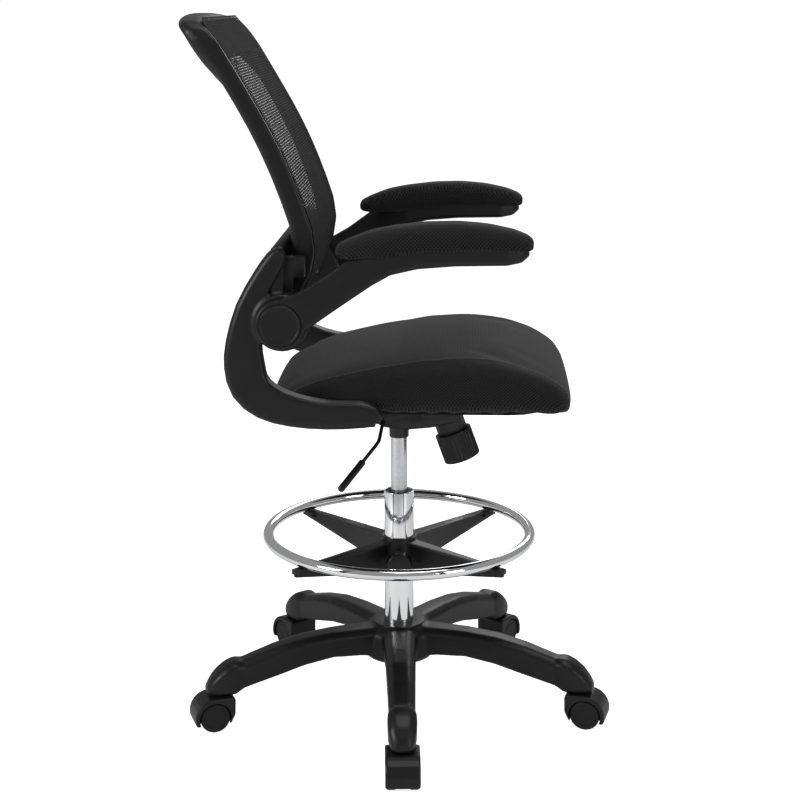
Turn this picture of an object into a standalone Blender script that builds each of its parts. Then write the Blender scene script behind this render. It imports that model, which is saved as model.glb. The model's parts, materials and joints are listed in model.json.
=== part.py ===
"""Drafting chair: a gas-lift seat on a five-leg caster base, with a foot ring, a tilt
mechanism, flip-up armrests and a mesh back.

Metres, +Z up, the sitter faces -Y, so the sitter's left is +X. Every size below is
measured from the column's axis and the floor. The last step moves the whole chair so
that the middle of its overall box stands on the origin.
"""

import math

import bmesh
import bpy
from mathutils import Matrix, Vector

MM = 0.001
GAP = 0.3 * MM  # between pieces that touch, and around a running pin
HIDDEN = []  # cutters and joining shapes, which aren't pieces of the chair
SPOTS = {}  # where each joint's empty stands in the column's frame

# --- Casters -----------------------------------------------------------------
CASTER_COUNT = 5
CASTER_CIRCLE = 318 * MM  # radius from the column to each swivel axis
BASE_TURN = math.radians(183.4)  # direction of the first leg
WHEEL_RADIUS = 25 * MM
WHEEL_WIDTH = 14 * MM
WHEEL_SPACE = 23 * MM  # between the two wheels of a caster
WHEEL_SIDES = 16
AXLE_TRAIL = 14 * MM  # from the swivel axis out to the axle
AXLE_RADIUS = 3 * MM
AXLE_BEYOND = 11 * MM  # how far the axle reaches into each wheel
HOOD_ROOM = 1.5 * MM  # around the wheels
HOOD_WALL = 7.5 * MM
HOOD_WIDTH = 55 * MM
HOOD_NECK = 21.5 * MM  # from the swivel axis to the hood's inner face
HOOD_SKIRT = 12 * MM  # how far below the axle the hood reaches
HOOD_HEEL = 16 * MM  # height of the slope at the foot of its inner face
STEM_RADIUS = 5.5 * MM
STEM_IN_HOOD = 17 * MM
STEM_IN_LEG = 37 * MM

# --- Star base ---------------------------------------------------------------
CASTER_TOP = 2 * WHEEL_RADIUS + HOOD_ROOM + HOOD_WALL + 0.4 * MM
HUB_TOP = 152 * MM
HUB_BOTTOM = 94 * MM
HUB_DISC_RADIUS = 46 * MM
HUB_RADIUS = 62 * MM
LEG_START = 44 * MM
LEG_CHAMFER = 9 * MM

# --- Column and gas lift -----------------------------------------------------
TUBE_RADIUS = 25 * MM
TUBE_WALL = 2 * MM
TUBE_BOTTOM = 66 * MM
TUBE_TOP = 384 * MM
BUSH_LENGTH = 84 * MM
BUSH_SUNK = 3 * MM
ROD_RADIUS = 5 * MM
PISTON_RADIUS = 11 * MM
PISTON_TOP = 320 * MM
PISTON_LENGTH = 16 * MM
CYLINDER_RADIUS = 14 * MM
CYLINDER_BOTTOM = 166 * MM
CYLINDER_TOP = 518 * MM
CYLINDER_END = 12 * MM  # thickness of the gland and of the valve block
CYLINDER_TAPER = 1 * MM
PIN_RADIUS = 3 * MM
PIN_TOP = 526 * MM
BEARING_HEIGHT = 6 * MM
BEARING_RADIUS = 16 * MM
ROUND = 24  # sides of a large turned piece

# --- Foot ring ---------------------------------------------------------------
RING_HEIGHT = 310 * MM
RING_RADIUS = 221.5 * MM  # to the middle of its tube
RING_TUBE = 9.75 * MM
RING_TURN = math.radians(2.4)
SPOKE_COUNT = 4
SPOKE_TIP = 237 * MM
SPIDER_WALL = 6 * MM
SPIDER_TOP_RISE = 5 * MM  # the hub's collar above the spokes
SPOKE_DEPTH_HUB = 58 * MM
SPOKE_DEPTH_TIP = 13 * MM
RING_KNOB_RADIUS = 23 * MM
RING_KNOB_LENGTH = 27 * MM
RING_KNOB_DROP = 30 * MM  # below the spokes' top
RING_SCREW = 4 * MM

# --- Tilt mechanism ----------------------------------------------------------
HOUSING_HALF = 42 * MM
STEEL = 3 * MM
HOUSING_LOW = 499 * MM
COLLAR_BOTTOM = 478 * MM
COLLAR_TOP = 516 * MM
COLLAR_WALL = 4.2 * MM
TILT_Y = -55 * MM
TILT_Z = 533 * MM
TILT_PIN = 5 * MM
KNOB_LEAN = math.radians(20)  # forward of straight down
KNOB_Y = -90 * MM  # middle of the knob's upper face
KNOB_Z = 489 * MM
KNOB_RADIUS = 31 * MM
KNOB_LENGTH = 50 * MM
CUP_RADIUS = 25.5 * MM
CUP_LENGTH = 32 * MM
CUP_WALL = 3.5 * MM
SPRING_WIRE = 2.2 * MM
SPRING_TURNS = 6
STUD_RADIUS = 5 * MM
LEVER_RADIUS = 3.3 * MM
LEVER_Y = 25 * MM
LEVER_Z = 512 * MM
LEVER_REACH = 165 * MM  # from the column out to the lever's bend
LEVER_HAND = Vector((-80, 56, -57)) * MM  # from the bend to the grip's end
GRIP_RADIUS = 5.8 * MM
GRIP_SHARE = 0.58  # of the bent part

# --- Seat --------------------------------------------------------------------
SEAT_HALF = 238 * MM
SEAT_FRONT = -284 * MM
SEAT_REAR = 207 * MM
SEAT_BOTTOM = 574 * MM
SEAT_CROWN = 5 * MM
PAN_THICK = 9.7 * MM
PAN_INSET = 45 * MM
PLATE_HALF = 100 * MM
PLATE_FRONT = -115 * MM
PLATE_REAR = 85 * MM
# (share of the depth from the front, height of the side edge, how much narrower than
# the seat's widest)
SEAT_STATIONS = (
    (0.000, 584 * MM, 66 * MM),
    (0.012, 601 * MM, 42 * MM),
    (0.045, 617 * MM, 21 * MM),
    (0.110, 636 * MM, 8 * MM),
    (0.200, 649 * MM, 2 * MM),
    (0.330, 653 * MM, 0 * MM),
    (0.480, 648 * MM, 0 * MM),
    (0.640, 634 * MM, 2 * MM),
    (0.790, 617 * MM, 10 * MM),
    (0.890, 603 * MM, 22 * MM),
    (0.955, 593 * MM, 40 * MM),
    (0.990, 586 * MM, 58 * MM),
    (1.000, 580 * MM, 76 * MM),
)

# --- Side arms ---------------------------------------------------------------
ARM_INNER = SEAT_HALF + 5 * MM
ARM_THICK = 32 * MM
ARM_EDGE = 9 * MM
# (y, z, depth across the C) from the tongue under the seat up to the back
ARM_STATIONS = (
    (19, 571, 16),
    (26, 576, 30),
    (50, 579, 40),
    (97, 578, 43),
    (150, 585, 50),
    (190, 599, 57),
    (215, 622, 61),
    (223, 654, 61),
    (223, 690, 54),
    (214, 742, 40),
    (190, 789, 35),
    (172, 818, 30),
    (165, 829, 16),
)
FOOT_REACH = 93 * MM  # of the arm's foot under the seat
FOOT_FRONT = 25 * MM
FOOT_REAR = 125 * MM
FOOT_THICK = 7.7 * MM
HINGE_Y = 164 * MM
HINGE_Z = 723 * MM
BOSS_RADIUS = 44 * MM
BOSS_RISE = 4 * MM
HINGE_RADIUS = 6 * MM
HINGE_HEAD = 9.5 * MM

# --- Armrests ----------------------------------------------------------------
HUB_HALF = 8.85 * MM
HUB_SHIFT = 11.2 * MM  # of the hub, outward from the pad's middle
ARMREST_X = ARM_INNER + ARM_THICK + BOSS_RISE + GAP + HUB_HALF - HUB_SHIFT
ARM_HUB_RADIUS = 38 * MM
CAP_RADIUS = 31 * MM
CAP_SUNK = 2 * MM
# (y, underside, top, outward shift from the pad's middle, half width)
BEAM_STATIONS = (
    (164, 692, 760, 11.2, 8.85),
    (137, 706, 772, 11.2, 8.85),
    (104, 730, 791, 11.2, 9.2),
    (64, 758, 820, 11.2, 10.6),
    (28, 783, 827.5, 5, 20),
    (0, 799, 830.5, 0, 26),
    (-40, 808.5, 834.8, 0, 27.5),
    (-96, 813, 838, 0, 27.5),
    (-170, 814, 838, 0, 26),
    (-192, 818, 836.5, 0, 21),
    (-203, 827, 834.5, 0, 11),
)
# (y, underside, top, half width)
PAD_STATIONS = (
    (83, 832, 838, 10),
    (78, 828, 845, 22),
    (60, 826.5, 853, 32),
    (30, 829, 864, 37.5),
    (-5, 832.5, 870, 39),
    (-55, 837.5, 875, 39.5),
    (-100, 839, 876, 39.5),
    (-145, 839, 872.5, 38.5),
    (-182, 838, 865, 34),
    (-203, 836.5, 857, 26),
    (-212, 840, 849, 12),
)

# --- Back --------------------------------------------------------------------
BACK_HALF = ARM_INNER - 28 * MM
BACK_BOTTOM = 731 * MM
BACK_TOP = 1162 * MM
BACK_CROWN = 9 * MM
SIDE_BAR = 22 * MM
TOP_RAIL = 58 * MM
BOTTOM_RAIL = 31 * MM
BAR_DEPTH = 33 * MM
RAIL_DEPTH = 50 * MM
MESH_SUNK = 3 * MM
MESH_THICK = 1.6 * MM
# (z, y) of the back's front face, from its foot over the lumbar curve to the crest
BACK_PROFILE = (
    (731, 157),
    (760, 137),
    (790, 124),
    (820, 119.5),
    (850, 122.5),
    (900, 139),
    (960, 163),
    (1020, 193),
    (1080, 228),
    (1125, 254),
    (1150, 274),
    (1172, 300),
)
YOKE_FRONT = 163 * MM
YOKE_DEPTH = 26 * MM
YOKE_LOW = 801 * MM
YOKE_HEIGHT = 32 * MM
BRACKET_LOW = 786 * MM
BRACKET_HIGH = 816 * MM
BRACKET_FRONT = 132 * MM
STRAP_FOOT = 736 * MM
STRAP_THICK = 6.4 * MM


# --- Shaping tools -----------------------------------------------------------


def finish(bm):
    """A mesh from bm, with doubled points merged and its faces pointing outwards."""
    bmesh.ops.remove_doubles(bm, verts=bm.verts, dist=1e-6)
    bmesh.ops.recalc_face_normals(bm, faces=bm.faces)
    mesh = bpy.data.meshes.new("shape")
    bm.to_mesh(mesh)
    bm.free()
    return mesh


def joined(*meshes):
    """One mesh that holds several shapes, which don't touch."""
    bm = bmesh.new()
    for mesh in meshes:
        bm.from_mesh(mesh)
    return finish(bm)


def moved(mesh, matrix):
    """A copy of mesh, moved and turned by matrix."""
    copy = mesh.copy()
    copy.transform(matrix)
    if matrix.determinant() < 0:
        copy.flip_normals()
    return copy


def lathe(profile, sides=ROUND, closed=False):
    """Turns a profile of (radius, height) points about Z. A closed one is a ring."""
    bm = bmesh.new()
    points = [bm.verts.new((radius, 0, height)) for radius, height in profile]
    edges = [bm.edges.new(pair) for pair in zip(points, points[1:])]
    if closed:
        edges.append(bm.edges.new((points[-1], points[0])))
    bmesh.ops.spin(
        bm, geom=points + edges, axis=(0, 0, 1), cent=(0, 0, 0), steps=sides, angle=math.tau
    )
    return finish(bm)


def along_x(mesh):
    """Turns a shape made about Z so that its axis lies along +X."""
    return moved(mesh, Matrix.Rotation(math.pi / 2, 4, "Y"))


def prism(outline, start, end, plane="yz"):
    """Extrudes a flat outline from start to end along the third axis."""
    place = {
        "yz": lambda a, b, c: (c, a, b),
        "xz": lambda a, b, c: (a, c, b),
        "xy": lambda a, b, c: (a, b, c),
    }[plane]
    bm = bmesh.new()
    face = bm.faces.new([bm.verts.new(place(a, b, start)) for a, b in outline])
    made = bmesh.ops.extrude_face_region(bm, geom=[face])["geom"]
    push = Vector(place(0, 0, end)) - Vector(place(0, 0, start))
    verts = [item for item in made if isinstance(item, bmesh.types.BMVert)]
    bmesh.ops.translate(bm, verts=verts, vec=push)
    return finish(bm)


def box(low, high):
    """A block between two corners."""
    outline = ((low[1], low[2]), (high[1], low[2]), (high[1], high[2]), (low[1], high[2]))
    return prism(outline, low[0], high[0])


def loft(sections, ring=False):
    """Skins sections of equally many points. A ring's last section meets its first."""
    bm = bmesh.new()
    rows = [[bm.verts.new(point) for point in section] for section in sections]
    pairs = list(zip(rows, rows[1:]))
    if ring:
        pairs.append((rows[-1], rows[0]))
    else:
        bm.faces.new(rows[0])
        bm.faces.new(rows[-1])
    for row, following in pairs:
        for i in range(len(row)):
            j = (i + 1) % len(row)
            bm.faces.new((row[i], row[j], following[j], following[i]))
    return finish(bm)


def smooth_row(stations, per_span):
    """Points on a Catmull-Rom curve through the stations, whatever they hold."""
    rows = [Vector(station) for station in stations]
    rows = [2 * rows[0] - rows[1], *rows, 2 * rows[-1] - rows[-2]]
    made = []
    for before, a, b, after in zip(rows, rows[1:], rows[2:], rows[3:]):
        for step in range(per_span):
            t = step / per_span
            drift = (b - before) * t + (2 * before - 5 * a + 4 * b - after) * t * t
            made.append(a + (drift + (3 * a - before - 3 * b + after) * t**3) / 2)
    return made + [rows[-2]]


def sweep(path, radius, sides):
    """A round bar along a path of points."""
    sections = []
    side = None
    for i, point in enumerate(path):
        heading = (path[min(i + 1, len(path) - 1)] - path[max(i - 1, 0)]).normalized()
        side = heading.orthogonal() if side is None else side - heading * side.dot(heading)
        side = side.normalized()
        other = heading.cross(side)
        turns = [math.tau * k / sides for k in range(sides)]
        sections.append(
            [point + radius * (side * math.cos(t) + other * math.sin(t)) for t in turns]
        )
    return loft(sections)


# --- Objects -----------------------------------------------------------------


def clear_scene():
    for obj in list(bpy.data.objects):
        bpy.data.objects.remove(obj)


def material(name, colour, roughness, metallic=0.0):
    made = bpy.data.materials.new(name)
    made.use_nodes = True
    shader = made.node_tree.nodes["Principled BSDF"]
    shader.inputs["Base Color"].default_value = (*colour, 1)
    shader.inputs["Roughness"].default_value = roughness
    shader.inputs["Metallic"].default_value = metallic
    return made


FINISHES = {
    "nylon": ((0.012, 0.012, 0.013), 0.45, 0.0),
    "tread": ((0.010, 0.010, 0.010), 0.6, 0.0),
    "chrome": ((0.80, 0.80, 0.82), 0.08, 1.0),
    "steel": ((0.55, 0.55, 0.56), 0.35, 1.0),
    "black_steel": ((0.015, 0.015, 0.016), 0.5, 0.4),
    "board": ((0.30, 0.20, 0.11), 0.8, 0.0),
    "seat_fabric": ((0.010, 0.010, 0.011), 0.9, 0.0),
    "mesh_fabric": ((0.014, 0.014, 0.015), 0.8, 0.0),
}


def joint(name, parent=None, spot=(0, 0, 0)):
    """An empty on a joint's axis, at spot in the column's frame."""
    empty = bpy.data.objects.new(name, None)
    empty.empty_display_size = 0.03
    bpy.context.scene.collection.objects.link(empty)
    SPOTS[name] = Vector(spot)
    if parent:
        empty.parent = parent
        empty.location = SPOTS[name] - SPOTS[parent.name]
    return empty


def piece(name, mesh, finish_name, body, local=False):
    """A piece of the chair. Its mesh is in the column's frame, or in the body's own."""
    colour, roughness, metallic = FINISHES[finish_name]
    obj = bpy.data.objects.new(name, mesh)
    bpy.context.scene.collection.objects.link(obj)
    obj.parent = body
    if not local:
        obj.location = -SPOTS[body.name]
    if not mesh.materials:
        mesh.materials.append(material(name, colour, roughness, metallic))
    mesh.shade_smooth()
    mesh.set_sharp_from_angle(angle=math.radians(35))
    return obj


def combine(obj, mesh, operation):
    """Cuts a shape out of obj, or joins it on, where both are in obj's own frame."""
    tool = bpy.data.objects.new(f"{obj.name}_{operation.lower()}_{len(HIDDEN)}", mesh)
    bpy.context.scene.collection.objects.link(tool)
    tool.parent = obj
    tool.hide_render = True
    tool.display_type = "WIRE"
    HIDDEN.append(tool)
    change = obj.modifiers.new(operation.title(), "BOOLEAN")
    change.operation = operation
    change.solver = "EXACT"
    change.object = tool


def cut(obj, mesh):
    combine(obj, mesh, "DIFFERENCE")


def weld(obj, mesh):
    combine(obj, mesh, "UNION")


def soften(obj, width, segments=1, angle=40):
    bevel = obj.modifiers.new("Rounding", "BEVEL")
    bevel.width = width
    bevel.segments = segments
    bevel.limit_method = "ANGLE"
    bevel.angle_limit = math.radians(angle)


# --- Base and casters --------------------------------------------------------


def polar(radius, turn, height=0.0):
    return Vector((radius * math.cos(turn), radius * math.sin(turn), height))


def leg_turns():
    return [BASE_TURN + math.tau * k / CASTER_COUNT for k in range(CASTER_COUNT)]


def leg():
    """One leg of the base along +X: a tapering beam that ends in the caster's knuckle."""
    circle = CASTER_CIRCLE
    stations = (
        (LEG_START, HUB_TOP - 3.5 * MM, HUB_BOTTOM + 2 * MM, 29 * MM),
        (70 * MM, HUB_TOP - 3.5 * MM, HUB_BOTTOM + 7 * MM, 28 * MM),
        (0.39 * circle, HUB_TOP - 4.5 * MM, HUB_BOTTOM + 10 * MM, 26 * MM),
        (0.55 * circle, HUB_TOP - 9 * MM, HUB_BOTTOM + 2 * MM, 24.5 * MM),
        (0.70 * circle, HUB_TOP - 19 * MM, HUB_BOTTOM - 11 * MM, 23 * MM),
        (circle - 38 * MM, CASTER_TOP + 56 * MM, CASTER_TOP + 9 * MM, 21.5 * MM),
        (circle - 33 * MM, CASTER_TOP + 58 * MM, CASTER_TOP + 6 * MM, 22.5 * MM),
        (circle - 24 * MM, CASTER_TOP + 58 * MM, CASTER_TOP + GAP, 23.5 * MM),
        (circle - 10 * MM, CASTER_TOP + 52 * MM, CASTER_TOP + GAP, 24 * MM),
        (circle + 6 * MM, CASTER_TOP + 40 * MM, CASTER_TOP + GAP, 22 * MM),
        (circle + 17 * MM, CASTER_TOP + 27 * MM, CASTER_TOP + GAP, 18 * MM),
        (circle + 24 * MM, CASTER_TOP + 15 * MM, CASTER_TOP + 4 * MM, 12 * MM),
    )
    sections = []
    for reach, top, low, half in stations:
        chamfer = min(LEG_CHAMFER, 0.4 * (top - low))
        sections.append(
            [
                Vector((reach, side * share * half, height))
                for side, share, height in (
                    (-1, 0.55, top),
                    (1, 0.55, top),
                    (1, 1.0, top - chamfer),
                    (1, 0.94, low + chamfer / 2),
                    (1, 0.80, low),
                    (-1, 0.80, low),
                    (-1, 0.94, low + chamfer / 2),
                    (-1, 1.0, top - chamfer),
                )
            ]
        )
    return loft(sections)


def make_base(base):
    bore = TUBE_RADIUS + GAP
    hub = lathe(
        (
            (bore, HUB_BOTTOM - 4 * MM),
            (HUB_RADIUS - 6 * MM, HUB_BOTTOM - 4 * MM),
            (HUB_RADIUS, HUB_BOTTOM + 4 * MM),
            (HUB_RADIUS, HUB_TOP - 16 * MM),
            (HUB_RADIUS - 9 * MM, HUB_TOP - 6 * MM),
            (HUB_DISC_RADIUS, HUB_TOP - 4 * MM),
            (HUB_DISC_RADIUS, HUB_TOP - 2 * MM),
            (HUB_DISC_RADIUS - 2 * MM, HUB_TOP),
            (bore, HUB_TOP),
        ),
        closed=True,
    )
    star = piece("star_base", hub, "nylon", base)
    one = leg()
    weld(star, joined(*[moved(one, Matrix.Rotation(t, 4, "Z")) for t in leg_turns()]))
    socket = lathe(
        (
            (0, CASTER_TOP - 5 * MM),
            (STEM_RADIUS + GAP, CASTER_TOP - 5 * MM),
            (STEM_RADIUS + GAP, CASTER_TOP + STEM_IN_LEG + GAP),
            (0, CASTER_TOP + STEM_IN_LEG + GAP),
        ),
        sides=12,
    )
    spots = [Matrix.Translation(polar(CASTER_CIRCLE, t)) for t in leg_turns()]
    cut(star, joined(*[moved(socket, spot) for spot in spots]))


def hood_outline():
    """The hood's side view: a drum around the wheels with a square neck over the stem."""
    radius = WHEEL_RADIUS + HOOD_ROOM + HOOD_WALL
    low = WHEEL_RADIUS - HOOD_SKIRT
    start = -math.asin(HOOD_SKIRT / radius)
    turns = [start + (math.pi / 2 - start) * k / 7 for k in range(8)]
    drum = [
        (AXLE_TRAIL + radius * math.cos(t), WHEEL_RADIUS + radius * math.sin(t)) for t in turns
    ]
    top = CASTER_TOP
    drum[-1] = (AXLE_TRAIL - 4 * MM, top)
    neck = [(-HOOD_NECK + 4 * MM, top), (-HOOD_NECK, top - 4 * MM)]
    heel = [(-HOOD_NECK + 1 * MM, low + HOOD_HEEL), (-HOOD_NECK + 9 * MM, low)]
    return drum + neck + heel


def make_casters(base):
    core = WHEEL_SPACE / 2 - 1 * MM
    flank = HOOD_WIDTH / 2
    pocket_radius = WHEEL_RADIUS / math.cos(math.pi / WHEEL_SIDES) + HOOD_ROOM
    to_axle = Matrix.Translation((AXLE_TRAIL, 0, WHEEL_RADIUS))
    sideways = Matrix.Rotation(-math.pi / 2, 4, "X")
    hood = prism(hood_outline(), -flank, flank, "xz")
    pocket = lathe(
        ((0, core), (pocket_radius, core), (pocket_radius, flank + 5 * MM), (0, flank + 5 * MM)),
        sides=WHEEL_SIDES,
    )
    other_pocket = moved(pocket, Matrix.Scale(-1, 4, (0, 0, 1)))
    pockets = moved(joined(pocket, other_pocket), to_axle @ sideways)
    bore = lathe(
        (
            (0, -core - 1 * MM),
            (AXLE_RADIUS + GAP, -core - 1 * MM),
            (AXLE_RADIUS + GAP, core + 1 * MM),
            (0, core + 1 * MM),
        ),
        sides=12,
    )
    stem_low = CASTER_TOP - STEM_IN_HOOD
    stem_bore = lathe(
        (
            (0, stem_low - GAP),
            (STEM_RADIUS + GAP, stem_low - GAP),
            (STEM_RADIUS + GAP, CASTER_TOP + 5 * MM),
            (0, CASTER_TOP + 5 * MM),
        ),
        sides=12,
    )
    holes = joined(moved(bore, to_axle @ sideways), stem_bore)
    stem = lathe(
        (
            (0, stem_low),
            (STEM_RADIUS, stem_low),
            (STEM_RADIUS, CASTER_TOP + STEM_IN_LEG - 2 * MM),
            (STEM_RADIUS - 2 * MM, CASTER_TOP + STEM_IN_LEG),
            (0, CASTER_TOP + STEM_IN_LEG),
        ),
        sides=12,
    )
    reach = WHEEL_SPACE / 2 + AXLE_BEYOND
    axle = moved(
        lathe(((0, -reach), (AXLE_RADIUS, -reach), (AXLE_RADIUS, reach), (0, reach)), sides=12),
        to_axle @ sideways,
    )
    inner = WHEEL_SPACE / 2
    outer = inner + WHEEL_WIDTH
    rim = WHEEL_RADIUS / math.cos(math.pi / WHEEL_SIDES)
    flat_down = Matrix.Rotation(math.pi / WHEEL_SIDES, 4, "Y")
    wheel = lathe(
        (
            (0, outer),
            (0.72 * rim, outer),
            (rim - 1 * MM, outer - 3 * MM),
            (rim, outer - 6 * MM),
            (rim, inner + 1 * MM),
            (rim - 1 * MM, inner),
            (AXLE_RADIUS + GAP, inner),
            (AXLE_RADIUS + GAP, inner + AXLE_BEYOND + GAP),
            (0, inner + AXLE_BEYOND + GAP),
        ),
        sides=WHEEL_SIDES,
    )
    left_wheel = moved(wheel, flat_down @ sideways)
    right_wheel = moved(wheel, flat_down @ Matrix.Scale(-1, 4, (0, 1, 0)) @ sideways)
    for number, turn in enumerate(leg_turns(), 1):
        swivel = joint(f"caster_{number}_swivel", base, polar(CASTER_CIRCLE, turn))
        swivel.rotation_euler.z = turn
        body = piece(f"caster_{number}_hood", hood.copy(), "nylon", swivel, local=True)
        soften(body, 4 * MM, segments=2)
        cut(body, pockets)
        cut(body, holes)
        piece(f"caster_{number}_stem", stem.copy(), "steel", swivel, local=True)
        piece(f"caster_{number}_axle", axle.copy(), "steel", swivel, local=True)
        for side, mesh in (("left", left_wheel), ("right", right_wheel)):
            spin = bpy.data.objects.new(f"caster_{number}_{side}_spin", None)
            bpy.context.scene.collection.objects.link(spin)
            spin.parent = swivel
            spin.location = (AXLE_TRAIL, 0, WHEEL_RADIUS)
            piece(f"caster_{number}_wheel_{side}", mesh.copy(), "tread", spin, local=True)


# --- Column ------------------------------------------------------------------


def make_column(base, rod, lift, pin):
    inner = TUBE_RADIUS - TUBE_WALL
    floor = TUBE_BOTTOM + TUBE_WALL
    hole = ROD_RADIUS + GAP
    tube = (
        (hole, TUBE_BOTTOM),
        (TUBE_RADIUS, TUBE_BOTTOM),
        (TUBE_RADIUS, TUBE_TOP),
        (inner, TUBE_TOP),
        (inner, floor),
        (hole, floor),
    )
    piece("column_tube", lathe(tube, closed=True), "chrome", base)
    bush_top = TUBE_TOP - BUSH_SUNK
    bush_hole = CYLINDER_RADIUS + GAP
    bush = (
        (bush_hole, bush_top - BUSH_LENGTH),
        (inner - GAP, bush_top - BUSH_LENGTH),
        (inner - GAP, bush_top),
        (bush_hole + 3 * MM, bush_top),
        (bush_hole, bush_top - 3 * MM),
    )
    piece("column_bush", lathe(bush, closed=True), "nylon", base)
    bearing_low = floor + GAP
    bearing_high = bearing_low + BEARING_HEIGHT
    bearing = (
        (hole, bearing_low),
        (BEARING_RADIUS, bearing_low),
        (BEARING_RADIUS, bearing_high),
        (hole, bearing_high),
    )
    piece("thrust_bearing", lathe(bearing, sides=16, closed=True), "steel", base)
    collar = ROD_RADIUS + 5 * MM
    piston = (
        (0, TUBE_BOTTOM - GAP - 4 * MM),
        (collar, TUBE_BOTTOM - GAP - 4 * MM),
        (collar, TUBE_BOTTOM - GAP),
        (ROD_RADIUS, TUBE_BOTTOM - GAP),
        (ROD_RADIUS, bearing_high + GAP),
        (collar, bearing_high + GAP),
        (collar, bearing_high + GAP + 4 * MM),
        (ROD_RADIUS, bearing_high + GAP + 4 * MM),
        (ROD_RADIUS, PISTON_TOP - PISTON_LENGTH),
        (PISTON_RADIUS, PISTON_TOP - PISTON_LENGTH),
        (PISTON_RADIUS, PISTON_TOP),
        (0, PISTON_TOP),
    )
    piece("piston_rod", lathe(piston, sides=16), "steel", rod)
    bore = PISTON_RADIUS + GAP
    valve = PIN_RADIUS + GAP
    cylinder = (
        (hole, CYLINDER_BOTTOM),
        (CYLINDER_RADIUS - 1 * MM, CYLINDER_BOTTOM),
        (CYLINDER_RADIUS, CYLINDER_BOTTOM + 1 * MM),
        (CYLINDER_RADIUS, COLLAR_BOTTOM),
        (CYLINDER_RADIUS - CYLINDER_TAPER, CYLINDER_TOP),
        (valve, CYLINDER_TOP),
        (valve, CYLINDER_TOP - CYLINDER_END),
        (bore, CYLINDER_TOP - CYLINDER_END),
        (bore, CYLINDER_BOTTOM + CYLINDER_END),
        (hole, CYLINDER_BOTTOM + CYLINDER_END),
    )
    piece("gas_cylinder", lathe(cylinder, closed=True), "chrome", lift)
    button = (
        (0, CYLINDER_TOP - CYLINDER_END - 4 * MM),
        (PIN_RADIUS, CYLINDER_TOP - CYLINDER_END - 4 * MM),
        (PIN_RADIUS, PIN_TOP - 2 * MM),
        (PIN_RADIUS - 1 * MM, PIN_TOP),
        (0, PIN_TOP),
    )
    piece("release_pin", lathe(button, sides=12), "steel", pin)


# --- Foot ring ---------------------------------------------------------------


def spoke(top):
    """One T-section spoke along +X with its end tab under the ring."""
    start = TUBE_RADIUS + 2.5 * MM
    flange = 4.5 * MM
    sections = []
    for reach, wide, web, depth in (
        (start, 12 * MM, 5 * MM, SPOKE_DEPTH_HUB),
        (SPOKE_TIP, 6.5 * MM, 3 * MM, SPOKE_DEPTH_TIP),
    ):
        sections.append(
            [
                Vector((reach, across, top - down))
                for across, down in (
                    (-wide, 0),
                    (wide, 0),
                    (wide, flange),
                    (web, flange),
                    (web, depth),
                    (-web, depth),
                    (-web, flange),
                    (-wide, flange),
                )
            ]
        )
    return loft(sections)


def make_foot_ring(ring, knob):
    tube = [
        (
            RING_RADIUS + RING_TUBE * math.cos(math.tau * k / 10),
            RING_HEIGHT + RING_TUBE * math.sin(math.tau * k / 10),
        )
        for k in range(10)
    ]
    piece("foot_ring", lathe(tube, sides=48, closed=True), "chrome", ring)
    top = RING_HEIGHT - RING_TUBE - GAP
    bore = TUBE_RADIUS + GAP
    outer = bore + SPIDER_WALL
    low = top - SPOKE_DEPTH_HUB - 2 * MM
    hub = (
        (bore, low),
        (outer, low),
        (outer, top + SPIDER_TOP_RISE - 1 * MM),
        (outer - 1 * MM, top + SPIDER_TOP_RISE),
        (bore, top + SPIDER_TOP_RISE),
    )
    spider = piece("ring_spider", lathe(hub, closed=True), "nylon", ring)
    turns = [RING_TURN + math.pi / 4 + math.tau * k / SPOKE_COUNT for k in range(SPOKE_COUNT)]
    spins = [Matrix.Rotation(turn, 4, "Z") for turn in turns]
    one = spoke(top)
    weld(spider, joined(*[moved(one, spin) for spin in spins]))
    tab = box(
        (SPOKE_TIP - 29 * MM, -9 * MM, top - SPOKE_DEPTH_TIP + 3 * MM),
        (SPOKE_TIP - 1 * MM, 9 * MM, top - 1.5 * MM),
    )
    weld(spider, joined(*[moved(tab, spin) for spin in spins]))
    height = top - RING_KNOB_DROP
    aim = Matrix.Translation((0, 0, height)) @ Matrix.Rotation(RING_TURN + math.pi, 4, "Z")
    boss_end = outer + 12 * MM
    boss = along_x(
        lathe(((0, outer - 4 * MM), (11 * MM, outer - 4 * MM), (11 * MM, boss_end), (0, boss_end)))
    )
    weld(spider, moved(boss, aim))
    hole = RING_SCREW + GAP
    drill = along_x(
        lathe(
            ((0, bore - 3 * MM), (hole, bore - 3 * MM), (hole, boss_end + 3 * MM), (0, boss_end + 3 * MM)),
            sides=12,
        )
    )
    cut(spider, moved(drill, aim))
    face = boss_end + GAP
    end = face + RING_KNOB_LENGTH
    wide = RING_KNOB_RADIUS
    handle = (
        (0, bore),
        (RING_SCREW, bore),
        (RING_SCREW, face),
        (0.6 * wide, face),
        (0.95 * wide, face + 5 * MM),
        (wide, face + 12 * MM),
        (0.9 * wide, end - 6 * MM),
        (0.55 * wide, end - 1 * MM),
        (0, end),
    )
    piece("ring_knob", moved(along_x(lathe(handle, sides=20)), aim), "nylon", knob)


# --- Tilt mechanism ----------------------------------------------------------


def knob_frame():
    """From a frame whose +Z points up out of the tension knob, at its upper face."""
    return Matrix.Translation((0, KNOB_Y, KNOB_Z)) @ Matrix.Rotation(-KNOB_LEAN, 4, "X")


def cross_hole(y, z, radius, half, sides=12):
    """A cutter along X through both walls."""
    hole = lathe(((0, -half), (radius, -half), (radius, half), (0, half)), sides=sides)
    return moved(along_x(hole), Matrix.Translation((0, y, z)))


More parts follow.
